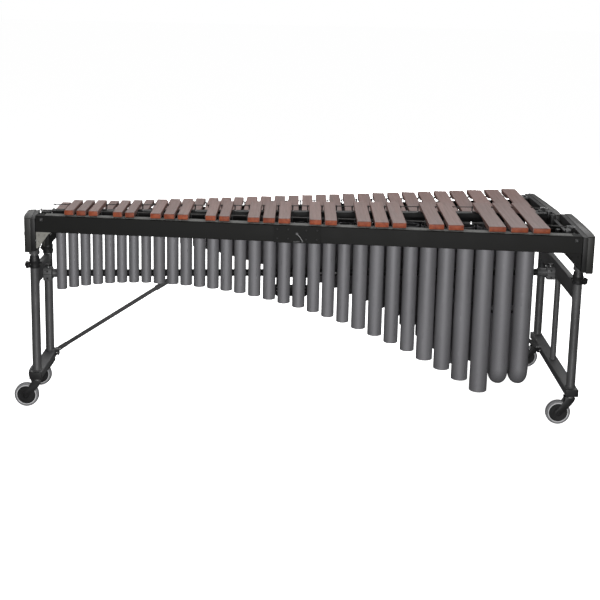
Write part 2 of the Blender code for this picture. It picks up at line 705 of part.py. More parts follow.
def build_beam():
    """The long tube that ties the two ends together, and the joint at its middle."""
    shape = bmesh.new()
    add_cylinder(shape, BEAM_RADIUS, beam_point(-BEAM_REACH), beam_point(BEAM_REACH), 12)
    smooth(place("centre_beam", to_mesh("centre_beam", shape), BLACK))
    sleeve = bmesh.new()
    add_cylinder(sleeve, 0.021, beam_point(JOINT_X[0]), beam_point(JOINT_X[1]), 12)
    obj = place("beam_joint", to_mesh("beam_joint", sleeve), BLACK)
    frame = bmesh.new()
    y = line_y(BEAM_LINE, sum(JOINT_X) / 2)
    low, high = (JOINT_X[0], y - 0.006, JOINT_PLATE_Z[0]), (JOINT_X[1], y + 0.006, JOINT_PLATE_Z[1])
    add_box(frame, low, high)
    combine(obj, helper("joint_plate", to_mesh("joint_plate", frame)), "UNION")
    hangers = bmesh.new()
    for x in (JOINT_X[0] + HANGER_WIDTH, JOINT_X[1] - HANGER_WIDTH):
        low = (x - HANGER_WIDTH / 2, y - 0.005, JOINT_PLATE_Z[0] + 0.01)
        add_box(hangers, low, (x + HANGER_WIDTH / 2, y + 0.005, BEAM_Z - BEAM_RADIUS))
    combine(obj, helper("joint_hangers", to_mesh("joint_hangers", hangers)), "UNION")
    bore = bmesh.new()
    add_cylinder(bore, BEAM_RADIUS + GAP, beam_point(JOINT_X[0] - 0.02), beam_point(JOINT_X[1] + 0.02), 12)
    combine(obj, helper("joint_bore", to_mesh("joint_bore", bore)), "DIFFERENCE")


def build_beam_clamp(end, sign):
    """The block that holds the beam to the upper crossbar, with its hand screw on top."""
    inner = sign * CLAMP_INNER_X
    outer = sign * (LEG_X - UPPER_BAR_WIDTH / 2 - GAP)
    y = line_y(BEAM_LINE, inner)
    low = (min(inner, outer), y - CLAMP_HALF, CLAMP_Z[0])
    high = (max(inner, outer), y + CLAMP_HALF, CLAMP_Z[1])
    obj = place(end + "_beam_clamp", boxes_mesh(end + "_beam_clamp", [(low, high)]), PLASTIC)
    bevel(obj, 0.004)
    build_knob(end + "_beam_clamp_knob", ((inner + outer) / 2, y, CLAMP_Z[1] + GAP), (0, 0, 1), size=0.9)


TAB_X = (1.036, 1.0635)
TAB_HALF_WIDTH = 0.015
TAB_THICKNESS = 0.006
HEAD_RADIUS = 0.010


def build_brace(end, sign):
    """A rod from a foot on the lower crossbar up to a head under the beam, and its hand screw."""
    foot_y = BRACE_FOOT_Y[end]
    base = LOWER_BAR_Z[1] + GAP
    tab_x = sorted(sign * x for x in TAB_X)
    low = (tab_x[0], foot_y - TAB_HALF_WIDTH, base)
    high = (tab_x[1], foot_y + TAB_HALF_WIDTH, base + TAB_THICKNESS)
    foot = Vector((sign * 1.050, foot_y, base + TAB_THICKNESS / 2))
    head = beam_point(sign * BRACE_HEAD_X, BEAM_RADIUS + GAP + HEAD_RADIUS)
    rod = bmesh.new()
    add_cylinder(rod, BRACE_RADIUS, foot, head, 8)
    name = end + "_brace"
    obj = place(name, to_mesh(name, rod), CHARCOAL)
    tab = helper(name + "_foot", boxes_mesh(name + "_foot", [(low, high)]))
    combine(obj, tab, "UNION")
    barrel = bmesh.new()
    along = Vector((1, BEAM_LINE[1], 0)).normalized() * 0.018
    add_cylinder(barrel, HEAD_RADIUS, head - along, head + along, 8)
    combine(obj, helper(name + "_head", to_mesh(name + "_head", barrel)), "UNION")
    start = (sign * (LEG_X - LOWER_BAR_WIDTH / 2 - GAP), foot_y, (LOWER_BAR_Z[0] + LOWER_BAR_Z[1]) / 2)
    build_knob(end + "_brace_knob", start, (-sign, 0, 0), size=0.75)


def build_stand():
    for end, sign in (("treble", -1), ("bass", 1)):
        build_end_frame(end, sign)
        build_beam_clamp(end, sign)
        build_brace(end, sign)
    build_middle_upright()
    build_beam()


build_bars()
build_support_rails()
build_resonators()
build_front_rail()
build_end_boards()
build_stand()
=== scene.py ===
import math
import random

import bmesh
import bpy
from mathutils import Matrix, Vector


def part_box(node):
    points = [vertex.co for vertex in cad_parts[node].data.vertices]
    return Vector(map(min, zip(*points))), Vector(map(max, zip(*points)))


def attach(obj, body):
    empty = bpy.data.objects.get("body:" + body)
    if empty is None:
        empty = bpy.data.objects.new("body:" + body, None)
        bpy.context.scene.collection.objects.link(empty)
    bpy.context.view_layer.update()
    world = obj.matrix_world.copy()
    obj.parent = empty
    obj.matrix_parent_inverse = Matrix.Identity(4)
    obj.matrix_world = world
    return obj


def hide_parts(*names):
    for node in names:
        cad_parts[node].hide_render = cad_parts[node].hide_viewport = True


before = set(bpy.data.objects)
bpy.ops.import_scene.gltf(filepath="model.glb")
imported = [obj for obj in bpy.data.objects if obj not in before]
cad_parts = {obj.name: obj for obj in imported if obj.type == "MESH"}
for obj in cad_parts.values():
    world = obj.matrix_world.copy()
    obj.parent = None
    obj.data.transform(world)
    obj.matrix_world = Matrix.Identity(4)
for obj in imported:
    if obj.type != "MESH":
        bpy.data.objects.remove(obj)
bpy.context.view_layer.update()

RANDOM = random.Random(7)

# ---- layout, in the same drawing coordinates as the CAD source ----

# Bars of one width, from the bass end: how many, their width and the gap beside each
NATURAL_RUNS = (
    (4, 0.066, 0.0173),
    (3, 0.059, 0.0152),
    (4, 0.0535, 0.0141),
    (7, 0.0465, 0.0136),
    (7, 0.041, 0.0131),
    (8, 0.036, 0.0124),
)
LOWEST_NATURAL_X = 0.9416
NATURALS_FROM_F = (True, True, True, False, True, True, False)
# Lines in plan: y where x is 0, and slope
NATURAL_FAR = (0.2529, 0.2563)
NATURAL_NEAR = (-0.0651, 0.07)
ACCIDENTAL_FAR = (-0.0501, 0.07)
ACCIDENTAL_NEAR = (-0.3832, -0.0768)
ACCIDENTAL_REAR_CORD = (-0.0901, 0.07)
NODE_SHARE = 0.224
FRONT_BANK = (-0.2054, 0.0305)
REAR_BANK = (0.0939, 0.163)
FRONT_TUBE_DIAMETERS = (0.0735, 0.0685, 0.059, 0.0515, 0.0485, 0.0412)
REAR_TUBE_DIAMETERS = (0.0735, 0.073, 0.0665, 0.0515, 0.0485, 0.0412)
FOLDED_BOTTOM_Z = 0.104
FOLD_RETURN_Z = 0.42
RAIL_FRONT = (-0.3932, -0.0768)
BEAM_LINE = (-0.0588, 0.086)
BEAM_Z = 0.538
BEAM_RADIUS = 0.0145
LEG_RADIUS = 0.018
LEG_X = 1.084
LEG_Y = {"treble_front": -0.252, "treble_rear": -0.0165, "bass_front": -0.318, "bass_rear": 0.337}
BAR_THICKNESS = 0.0205
BASS_UNDERCUT = 0.0125
TREBLE_UNDERCUT = 0.0045
TUBE_WALL = 0.0015
TUBE_SIDES = 28
FRONT_MOUTH_Z = 0.785
REAR_MOUTH_Z = 0.755
LATCH_Z = 0.786
FOOT_Z = 0.1573
HAND_SCREW_Z = 0.606

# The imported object's origin is the middle of its outline, so the drawing moves by this much
SHIFT = Vector((
    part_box("bass_natural_bars")[1].x - (LOWEST_NATURAL_X + NATURAL_RUNS[0][1] / 2),
    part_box("bass_front_leg")[0].y - (LEG_Y["bass_front"] - LEG_RADIUS),
    0.0,
))
NATURAL_TOP_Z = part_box("bass_natural_bars")[1].z
ACCIDENTAL_TOP_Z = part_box("bass_accidental_bars")[1].z
RAIL_BOTTOM_Z, RAIL_TOP_Z = (corner.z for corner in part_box("bass_front_rail"))


def line_y(line, x):
    return line[0] + line[1] * x


def natural_bars():
    bars = []
    x = LOWEST_NATURAL_X
    for run, (count, width, gap) in enumerate(NATURAL_RUNS):
        for _ in range(count):
            if bars:
                x -= (bars[-1][1] + width) / 2 + gap
            bars.append((x, width, run))
    return bars


NATURALS = natural_bars()
FIRST_TREBLE = 14
SPLIT_X = (NATURALS[FIRST_TREBLE - 1][0] + NATURALS[FIRST_TREBLE][0]) / 2
SLOTS = [((a[0] + b[0]) / 2, (a[1] + b[1]) / 2, b[2]) for a, b in zip(NATURALS, NATURALS[1:])]
ACCIDENTALS = [place for index, place in enumerate(SLOTS) if NATURALS_FROM_F[index % 7]]


def node_lines(near, far):
    """The lines in plan through the still points of a row's bars, near and far."""
    front = tuple(a + NODE_SHARE * (b - a) for a, b in zip(near, far))
    rear = tuple(b - NODE_SHARE * (b - a) for a, b in zip(near, far))
    return front, rear


NATURAL_CORDS = node_lines(NATURAL_NEAR, NATURAL_FAR)
ACCIDENTAL_CORDS = (node_lines(ACCIDENTAL_NEAR, ACCIDENTAL_FAR)[0], ACCIDENTAL_REAR_CORD)


# ---- materials ----

def preset(node, **values):
    """Set a node's inputs; an underscore stands for a space in an input's name."""
    for name, value in values.items():
        node.inputs[name.replace("_", " ")].default_value = value


def new_material(name):
    made = bpy.data.materials.new(name)
    made.use_nodes = True
    tree = made.node_tree
    coordinates = tree.nodes.new("ShaderNodeTexCoord")
    return made, tree, tree.nodes["Principled BSDF"], coordinates.outputs["Object"]


def noise(tree, vector, scale, stretch=(1, 1, 1), detail=4.0, roughness=0.55):
    mapping = tree.nodes.new("ShaderNodeMapping")
    preset(mapping, Scale=stretch)
    tree.links.new(vector, mapping.inputs["Vector"])
    texture = tree.nodes.new("ShaderNodeTexNoise")
    preset(texture, Scale=scale, Detail=detail, Roughness=roughness)
    tree.links.new(mapping.outputs["Vector"], texture.inputs["Vector"])
    return texture.outputs["Fac"]


def ramp(tree, value, stops):
    node = tree.nodes.new("ShaderNodeValToRGB")
    band = node.color_ramp
    while len(band.elements) < len(stops):
        band.elements.new(0.5)
    for element, (position, colour) in zip(band.elements, stops):
        element.position = position
        element.color = (*colour, 1.0)
    tree.links.new(value, node.inputs["Fac"])
    return node.outputs["Color"]


def spread(tree, value, low, high):
    """A noise value, mostly between 0.3 and 0.7, spread from low to high."""
    node = tree.nodes.new("ShaderNodeMapRange")
    preset(node, From_Min=0.3, From_Max=0.7, To_Min=low, To_Max=high)
    tree.links.new(value, node.inputs["Value"])
    return node.outputs["Result"]


def mixed(tree, kind, factor, first, second):
    node = tree.nodes.new("ShaderNodeMix")
    node.data_type = "RGBA"
    node.blend_type = kind
    preset(node, Factor=factor)
    colour_inputs = [socket for socket in node.inputs if socket.type == "RGBA"]
    tree.links.new(first, colour_inputs[0])
    tree.links.new(second, colour_inputs[1])
    return [socket for socket in node.outputs if socket.type == "RGBA"][0]


def bump(tree, shader, height, strength, distance):
    node = tree.nodes.new("ShaderNodeBump")
    preset(node, Strength=strength, Distance=distance)
    tree.links.new(height, node.inputs["Height"])
    tree.links.new(node.outputs["Normal"], shader.inputs["Normal"])


def scaled(colour, factor):
    return tuple(channel * factor for channel in colour)


def coated(name, colour, roughness, metallic=0.0, grain=900, depth=0.00012, cloud=14,
           vary=0.25, stretch=(1, 1, 1), specular=0.5):
    """Paint, anodising, plastic or rubber: cloudy colour, grainy bump and uneven gloss."""
    made, tree, shader, vector = new_material(name)
    clouds = noise(tree, vector, cloud, stretch)
    fine = noise(tree, vector, grain, stretch, 2.0)
    base = ramp(tree, clouds, ((0.3, scaled(colour, 1 - vary)), (0.7, scaled(colour, 1 + vary))))
    speck = ramp(tree, fine, ((0.25, (0.72, 0.72, 0.72)), (0.6, (1.0, 1.0, 1.0))))
    tree.links.new(mixed(tree, "MULTIPLY", 1.0, base, speck), shader.inputs["Base Color"])
    tree.links.new(spread(tree, clouds, roughness - 0.06, roughness + 0.08), shader.inputs["Roughness"])
    preset(shader, Metallic=metallic, Specular_IOR_Level=specular)
    bump(tree, shader, fine, 0.6, depth)
    return made


def rosewood(name, dark, middle, light, roughness, coat):
    """Straight-grained rosewood with the grain along the bar, dark pores and a tone for each bar."""
    made, tree, shader, vector = new_material(name)
    streaks = noise(tree, vector, 70, (1, 0.05, 1), 6.0, 0.6)
    broad = noise(tree, vector, 22, (1, 0.08, 1), 3.0)
    pores = noise(tree, vector, 420, (1, 0.035, 1), 3.0, 0.7)
    figure = ramp(tree, streaks, ((0.28, dark), (0.48, middle), (0.72, light)))
    bands = ramp(tree, broad, ((0.3, (0.84, 0.81, 0.80)), (0.7, (1.0, 1.0, 1.0))))
    flecks = ramp(tree, pores, ((0.34, (0.55, 0.48, 0.45)), (0.46, (1.0, 1.0, 1.0))))
    tone = tree.nodes.new("ShaderNodeAttribute")
    tone.attribute_name = "tone"
    shade = ramp(tree, tone.outputs["Fac"], ((0.0, (0.80, 0.76, 0.75)), (1.0, (1.12, 1.08, 1.06))))
    colour = mixed(tree, "MULTIPLY", 1.0, figure, bands)
    colour = mixed(tree, "MULTIPLY", 0.8, colour, flecks)
    colour = mixed(tree, "MULTIPLY", 1.0, colour, shade)
    tree.links.new(colour, shader.inputs["Base Color"])
    tree.links.new(spread(tree, streaks, roughness + 0.08, roughness - 0.06), shader.inputs["Roughness"])
    preset(shader, Coat_Weight=coat, Coat_Roughness=0.38)
    bump(tree, shader, pores, 0.5, 0.00015)
    return made


def rope(name, colour):
    """A braided cord: slanting strands across its length."""
    made, tree, shader, vector = new_material(name)
    wave = tree.nodes.new("ShaderNodeTexWave")
    wave.bands_direction = "DIAGONAL"
    preset(wave, Scale=260, Distortion=1.0)
    tree.links.new(vector, wave.inputs["Vector"])
    base = ramp(tree, wave.outputs["Fac"], ((0.2, scaled(colour, 0.5)), (0.8, scaled(colour, 1.3))))
    tree.links.new(base, shader.inputs["Base Color"])
    preset(shader, Roughness=0.8)
    bump(tree, shader, wave.outputs["Fac"], 0.8, 0.0004)
    return made


WOOD = rosewood("rosewood_face", (0.125, 0.066, 0.055), (0.175, 0.093, 0.078), (0.215, 0.120, 0.102),
                0.42, 0.25)
WOOD_END = rosewood("rosewood_end", (0.14, 0.021, 0.006), (0.225, 0.041, 0.008), (0.285, 0.065, 0.014),
                    0.7, 0.0)
RAIL = coated("rail_black", (0.0098, 0.0098, 0.0094), 0.6, 0.0, 1400, 0.0001, 9, 0.2, specular=0.08)
BLACK = coated("frame_black", (0.009, 0.009, 0.0092), 0.45, 0.0, 1200, 0.0001, 18, 0.3, specular=0.25)
TUBE = coated("tube_anthracite", (0.178, 0.176, 0.185), 0.62, 0.5, 1500, 0.00006, 6, 0.10,
              (1, 1, 0.35), 0.3)
TUBE_INSIDE = coated("tube_bore", (0.03, 0.03, 0.032), 0.7, 0.2, 900, 0.0001, 12, 0.3)
LEG = coated("leg_charcoal", (0.068, 0.068, 0.069), 0.45, 0.2, 1400, 0.00008, 8, 0.18, specular=0.35)
BOARD = coated("board_grey", (0.014, 0.0137, 0.0122), 0.5, 0.0, 1000, 0.00025, 30, 0.25, (1, 0.25, 1), 0.35)
BOARD_INNER = coated("board_black", (0.008, 0.008, 0.008), 0.5, 0.0, 1000, 0.0002, 20, 0.3, specular=0.25)
PLASTIC = coated("moulded_plastic", (0.012, 0.012, 0.0125), 0.48, 0.0, 1100, 0.0002, 24, 0.3, specular=0.3)
STEEL = coated("bright_steel", (0.62, 0.62, 0.60), 0.28, 1.0, 1600, 0.00004, 30, 0.12)
ZINC = coated("zinc_grey", (0.30, 0.30, 0.30), 0.4, 0.9, 900, 0.0001, 30, 0.2)
GUSSET = coated("gusset_grey", (0.20, 0.195, 0.175), 0.5, 0.2, 1000, 0.0001, 22, 0.15)
# Pale grey for the strip on the front rail's top: painted light, standing in for the light that falls on the
# dark rail's top
RAIL_TOP_PAINTED_LIGHT = coated("rail_top_painted_light", (0.13, 0.13, 0.125), 0.95, 0.0, 1800, 0.0006, 60, 0.25)
TYRE = coated("tyre_grey", (0.16, 0.16, 0.165), 0.65, 0.0, 800, 0.0002, 40, 0.2)
RING = coated("wheel_ring", (0.62, 0.62, 0.63), 0.4, 0.1, 900, 0.00008, 40, 0.12)
CORD = rope("braided_cord", (0.045, 0.043, 0.042))


# ---- mesh tools ----

def turns(count):
    return [2 * math.pi * step / count for step in range(count)]


def skin(shape, rings):
    """Faces between neighbouring rings of points, and one on each end; returns the two ends."""
    for first, second in zip(rings, rings[1:]):
        for step in range(len(first)):
            after = (step + 1) % len(first)
            shape.faces.new((first[step], first[after], second[after], second[step]))
    ends = [shape.faces.new(rings[0]), shape.faces.new(rings[-1])]
    bmesh.ops.recalc_face_normals(shape, faces=shape.faces)
    return ends


def aim(shape, origin, axis, size=1.0):
    """Scale a shape that stands on the z axis, turn it to another axis and carry it to a place."""
    turn = Vector((0, 0, 1)).rotation_difference(Vector(axis)).to_matrix().to_4x4()
    transform = Matrix.Translation(Vector(origin)) @ turn @ Matrix.Scale(size, 4)
    bmesh.ops.transform(shape, matrix=transform, verts=shape.verts)
    return shape


def box(corner, opposite, width=0.0, segments=2):
    """A box between two opposite corners, with its edges rounded over width."""
    shape = bmesh.new()
    size = [abs(side) for side in Vector(opposite) - Vector(corner)]
    transform = Matrix.Translation((Vector(opposite) + Vector(corner)) / 2) @ Matrix.Diagonal((*size, 1.0))
    bmesh.ops.create_cube(shape, size=1.0, matrix=transform)
    if width:
        bmesh.ops.bevel(shape, geom=shape.edges[:], offset=width, segments=segments, affect="EDGES",
                        profile=0.5)
    return shape


def lathe(profile, sides=32, origin=(0, 0, 0), axis=(0, 0, 1), closed=False):
    """A profile of (radius, height) points turned about an axis through origin."""
    shape = bmesh.new()
    rings = []
    for radius, height in profile:
        if radius <= 0:
            rings.append([shape.verts.new((0, 0, height))])
            continue
        rings.append([shape.verts.new((radius * math.cos(a), radius * math.sin(a), height))
                      for a in turns(sides)])
    for first, second in zip(rings, rings[1:] + rings[:closed]):
        for step in range(sides):
            after = (step + 1) % sides
            corners = (first[step % len(first)], first[after % len(first)],
                       second[after % len(second)], second[step % len(second)])
            corners = list(dict.fromkeys(corners))
            if len(corners) > 2:
                shape.faces.new(corners)
    bmesh.ops.recalc_face_normals(shape, faces=shape.faces)
    return aim(shape, origin, axis)


def rod(start, end, radius, sides=24, edge=0.0):
    """A solid round bar, with both rims cut back by edge."""
    start, end = Vector(start), Vector(end)
    length = (end - start).length
    profile = ((0, 0), (radius, 0), (radius, length), (0, length))
    if edge:
        profile = ((0, 0), (radius - edge, 0), (radius, edge), (radius, length - edge),
                   (radius - edge, length), (0, length))
    return lathe(profile, sides, start, end - start)


def sweep(points, radius, sides=12):
    """A round bar along a path."""
    points = [Vector(point) for point in points]
    shape = bmesh.new()
    rings = []
    normal = None
    for index, point in enumerate(points):
        before = points[max(index - 1, 0)]
        after = points[min(index + 1, len(points) - 1)]
        tangent = (after - before).normalized()
        if normal is None:
            normal = tangent.orthogonal().normalized()
        normal = (normal - tangent * normal.dot(tangent)).normalized()
        side = tangent.cross(normal)
        rings.append([shape.verts.new(point + radius * (normal * math.cos(a) + side * math.sin(a)))
                      for a in turns(sides)])
    skin(shape, rings)
    return shape


def prism(outline, axis, low, high, width=0.0, segments=2, shear=None):
    """An outline in the two other axes, pushed along an axis; shear is a line in plan that y follows."""
    shape = bmesh.new()
    rings = []
    for level in (low, high):
        spots = ({"x": (level, a, b), "y": (a, level, b), "z": (a, b, level)}[axis] for a, b in outline)
        rings.append([shape.verts.new(spot) for spot in spots])
    skin(shape, rings)
    if width:
        bmesh.ops.bevel(shape, geom=shape.edges[:], offset=width, segments=segments, affect="EDGES",
                        profile=0.5, clamp_overlap=True)
    if shear:
        for vert in shape.verts:
            vert.co.y += line_y(shear, vert.co.x)
    return shape


def ribbon(points, thickness, low, high):
    """An upright strip that follows points in plan."""
    shape = bmesh.new()
    rings = []
    for x, y in points:
        corners = ((y, low), (y + thickness, low), (y + thickness, high), (y, high))
        rings.append([shape.verts.new((x, across, level)) for across, level in corners])
    skin(shape, rings)
    return shape


def helix(start, end, radius, wire, coils):
    """A coil spring between two points."""
    start, end = Vector(start), Vector(end)
    along = end - start
    side = along.normalized().orthogonal()
    other = along.normalized().cross(side)
    points = []
    steps = coils * 10
    for step in range(steps + 1):
        angle = 2 * math.pi * step / 10
        ring_point = side * math.cos(angle) + other * math.sin(angle)
        points.append(start + along * step / steps + radius * ring_point)
    return sweep(points, wire, 6)


def placed(name, data):
    """A new object in the scene."""
    obj = bpy.data.objects.new(name, data)
    bpy.context.scene.collection.objects.link(obj)
    return obj


class Piece:
    """One visible piece, gathered from several shapes with a material each."""

    def __init__(self, shape=None, looks=()):
        self.shape = bmesh.new() if shape is None else shape
        self.looks = list(looks)

    def add(self, part, look):
        if look not in self.looks:
            self.looks.append(look)
        for face in part.faces:
            face.material_index = self.looks.index(look)
        mesh = bpy.data.meshes.new("part")
        part.to_mesh(mesh)
        part.free()
        self.shape.from_mesh(mesh)
        bpy.data.meshes.remove(mesh)
        return self

    def finish(self, name, body, slot, *replaced):
        mesh = bpy.data.meshes.new(name)
        self.shape.to_mesh(mesh)
        self.shape.free()
        for look in self.looks:
            mesh.materials.append(look)
        mesh.shade_smooth()
        mesh.set_sharp_from_angle(angle=math.radians(38))
        obj = placed(name, mesh)
        obj.location = SHIFT
        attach(obj, body)
        if replaced:
            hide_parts(*replaced)


def bolt(piece, place, axis, radius=0.004, height=0.003, look=None):
    """A button-head screw with a socket."""
    profile = ((0, 0), (radius, 0), (radius, height * 0.4), (radius * 0.75, height * 0.9),
               (radius * 0.45, height), (radius * 0.4, height * 0.5), (0, height * 0.5))
    piece.add(lathe(profile, 12, place, axis), look or STEEL)


# ---- bars ----

def bar_rings(width, length, undercut):
    """Cross-sections of a bar along its length: rounded rims, and an arch cut in its underside."""
    rim, chamfer, steps = 0.0016, 0.0014, 14
    arch_half_share, arch_steepness = 0.24, 1.6
    stations = [(0.0, rim), (rim, 0.0)]
    stations += [(rim + (length - 2 * rim) * step / steps, 0.0) for step in range(1, steps)]
    stations += [(length - rim, 0.0), (length, rim)]
    rings = []
    for along, inset in stations:
        arch = max(0.0, 1 - ((along / length - 0.5) / arch_half_share) ** 2)
        bottom = -BAR_THICKNESS + undercut * min(1.0, arch * arch_steepness)
        half = width / 2 - inset
        top, low = -inset, bottom + inset
        rings.append((along, (
            (-half, low + chamfer), (-half, top - chamfer), (-half + chamfer, top), (half - chamfer, top),
            (half, top - chamfer), (half, low + chamfer), (half - chamfer, low), (-half + chamfer, low),
        )))
    return rings


def build_bar(bar, near, far, top_z, undercut):
    """One bar, with its own tone and end-grain ends."""
    x, width, _ = bar
    start, end = line_y(near, x), line_y(far, x)
    shape = bmesh.new()
    tone = shape.verts.layers.float.new("tone")
    value = RANDOM.random()
    rings = []
    for along, section in bar_rings(width, end - start, undercut):
        rings.append([shape.verts.new((x + a, start + along, top_z + b)) for a, b in section])
    for end in skin(shape, rings):
        end.material_index = 1
    for vert in shape.verts:
        vert[tone] = value
    return Piece(shape, (WOOD, WOOD_END))


def build_bars():
    rows = (
        ("natural", NATURALS, NATURAL_NEAR, NATURAL_FAR, NATURAL_TOP_Z),
        ("accidental", ACCIDENTALS, ACCIDENTAL_NEAR, ACCIDENTAL_FAR, ACCIDENTAL_TOP_Z),
    )
    for row, bars, near, far, top_z in rows:
        stands_for = {"bass": f"bass_{row}_bars", "treble": f"treble_{row}_bars"}
        for number, bar in enumerate(bars, 1):
            share = (number - 1) / (len(bars) - 1)
            undercut = BASS_UNDERCUT + (TREBLE_UNDERCUT - BASS_UNDERCUT) * share
            piece = build_bar(bar, near, far, top_z, undercut)
            end = "bass" if bar[0] > SPLIT_X else "treble"
            replaced = [stands_for.pop(end)] if end in stands_for else []
            piece.finish(f"{row}_bar_{number:02d}", "keyboard", "rosewood", *replaced)


# ---- cords, posts and support rails ----

def post_places(bars):
    ordered = sorted(bars)
    places = [ordered[0][0] - ordered[0][1] / 2 - 0.006]
    for low, high in zip(ordered, ordered[1:]):
        left = low[0] + low[1] / 2
        right = high[0] - high[1] / 2
        places += [left + 0.006, right - 0.006] if right - left > 0.03 else [(left + right) / 2]
    places.append(ordered[-1][0] + ordered[-1][1] / 2 + 0.006)
    return places


def add_post(piece, x, y, base, cord_z):
    """A cord post: a threaded foot, a rubber sleeve and a fork that the cord lies in."""
    foot = ((0, 0), (0.0046, 0), (0.0046, 0.0025), (0.0026, 0.004), (0, 0.004))
    piece.add(lathe(foot, 8, (x, y, base)), ZINC)
    top = cord_z - 0.0045 - base
    sleeve = ((0, 0.003), (0.0024, 0.003), (0.0026, top - 0.001), (0.0036, top), (0.0036, top + 0.0022),
              (0, top + 0.0022))
    piece.add(lathe(sleeve, 8, (x, y, base)), PLASTIC)
    for side in (-1, 1):
        start = (x, y + side * 0.0028, cord_z - 0.003)
        piece.add(rod(start, (x, y + side * 0.0031, cord_z + 0.0036), 0.0011, 6), PLASTIC)


def support_rail(name, bars, line, half, z_range, ends, top_z):
    """A channel rail with a post for every gap in its row and an end plate and tab at each end."""
    piece = Piece()
    low, high = z_range
    wall, corner = 0.002, 0.0015
    outline = (
        (-half, low), (-half, high - corner), (-half + corner, high), (half - corner, high),
        (half, high - corner), (half, low), (half - wall, low), (half - wall, high - 0.003),
        (-half + wall, high - 0.003), (-half + wall, low),
    )
    piece.add(prism(outline, "x", ends[0], ends[1], shear=line), BLACK)
    cord_z = top_z - BAR_THICKNESS / 2
    for x in post_places(bars):
        add_post(piece, x, line_y(line, x), high, cord_z)
    for x, way in ((ends[0], 1), (ends[1], -1)):
        y = line_y(line, x + way * 0.018)
        side = half + 0.010
        piece.add(box((x, y - side, low - 0.006), (x + way * 0.004, y + side, high + 0.002), 0.001), BLACK)
        piece.add(box((x, y + half + 0.0005, low + 0.002), (x + way * 0.036, y + half + 0.0045, high - 0.002),
                      0.0008), BLACK)
        for offset in (0.004 - side, side - 0.004):
            bolt(piece, (x + way * 0.004, y + offset, (low + high) / 2), (way, 0, 0))
    piece.finish(name + "_rail", "keyboard", "satin_black_paint", name)


def add_cord(name, bars, line, top_z, ends):
    """A taut cord through one row: a spring at the bass end, a knot and a hook at the treble end."""
    z = top_z - BAR_THICKNESS / 2
    piece = Piece()
    first = bars[-1][0] - bars[-1][1] / 2
    last = bars[0][0] + bars[0][1] / 2
    treble_hook = Vector((ends[0] + 0.012, line_y(line, ends[0] + 0.012), z - 0.002))
    spring_start = Vector((ends[1] - 0.034, line_y(line, ends[1] - 0.034), z - 0.004))
    path = [treble_hook]
    first, last, steps = first - 0.01, last + 0.014, 60
    for step in range(steps + 1):
        x = first + (last - first) * step / steps
        path.append(Vector((x, line_y(line, x), z)))
    if spring_start.x > path[-1].x + 0.004:
        path.append(spring_start)
    piece.add(sweep(path, 0.0019, 8), CORD)
    knot = ((0, -0.004), (0.0035, -0.002), (0.004, 0), (0.0035, 0.002), (0, 0.004))
    piece.add(lathe(knot, 12, treble_hook, (1, 0, 0)), CORD)
    bends = ((0.001, -0.002), (0.010, -0.002), (0.013, 0.003), (0.010, 0.006))
    piece.add(sweep([(ends[0] + along, treble_hook.y, z + rise) for along, rise in bends], 0.0013, 6), STEEL)
    hook_x = ends[1] - 0.010
    spring_end = Vector((hook_x, line_y(line, hook_x), z - 0.005))
    piece.add(helix(path[-1], spring_end, 0.0035, 0.0008, 12), ZINC)
    piece.add(rod(spring_end, (ends[1] - 0.001, spring_end.y, z - 0.005), 0.0022, 10), ZINC)
    piece.finish(name, "keyboard", "black_plastic")


TREBLE_END, FRONT_BASS_END = (end.x - SHIFT.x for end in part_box("accidental_front_support"))
REAR_TREBLE_END, REAR_BASS_END = (end.x - SHIFT.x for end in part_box("natural_front_support"))


def build_supports():
    rows = (
        ("accidental_front", ACCIDENTALS, ACCIDENTAL_CORDS[0], 0.007, (0.772, 0.800), ACCIDENTAL_TOP_Z),
        ("accidental_rear", ACCIDENTALS, ACCIDENTAL_CORDS[1], 0.020, (0.790, 0.808), ACCIDENTAL_TOP_Z),
        ("natural_front", NATURALS, NATURAL_CORDS[0], 0.007, (0.740, 0.778), NATURAL_TOP_Z),
        ("natural_rear", NATURALS, NATURAL_CORDS[1], 0.007, (0.740, 0.778), NATURAL_TOP_Z),
    )
    for name, bars, line, half, z_range, top_z in rows:
        in_front = name == "accidental_front"
        ends = (TREBLE_END, FRONT_BASS_END) if in_front else (REAR_TREBLE_END, REAR_BASS_END)
        support_rail(name + "_support", bars, line, half, z_range, ends, top_z)
        add_cord(name + "_cord", bars, line, top_z, ends)


# ---- resonators ----

def front_bottom(index, x):
    """Height of a front tube's bottom: folded at the bass end, an arch elsewhere."""
    if index < 2:
        return FOLDED_BOTTOM_Z
    rise = 0.227 if x > -0.67 else 0.34
    return 0.532 - rise * (x + 0.67) ** 2


def rear_bottom(x):
    return max(0.050, 0.481 - 0.378 * x - 0.134 * x * x - 0.28 * max(x, 0.0) ** 3)


def add_tube(piece, x, y, radius, bottom, mouth):
    """An open tube with a recessed stopper in its bottom."""
    inner = radius - TUBE_WALL
    outside = ((0, bottom + 0.008), (inner, bottom + 0.008), (inner, bottom), (radius - 0.0005, bottom),
               (radius, bottom + 0.0006), (radius, mouth - 0.0006), (radius - 0.0005, mouth), (inner, mouth))
    piece.add(lathe(outside, TUBE_SIDES, (x, y, 0)), TUBE)
    inside = ((inner, mouth), (inner, bottom + 0.013), (0, bottom + 0.013))
    shape = lathe(inside, TUBE_SIDES, (x, y, 0))
    bmesh.ops.reverse_faces(shape, faces=shape.faces)
    piece.add(shape, TUBE_INSIDE)


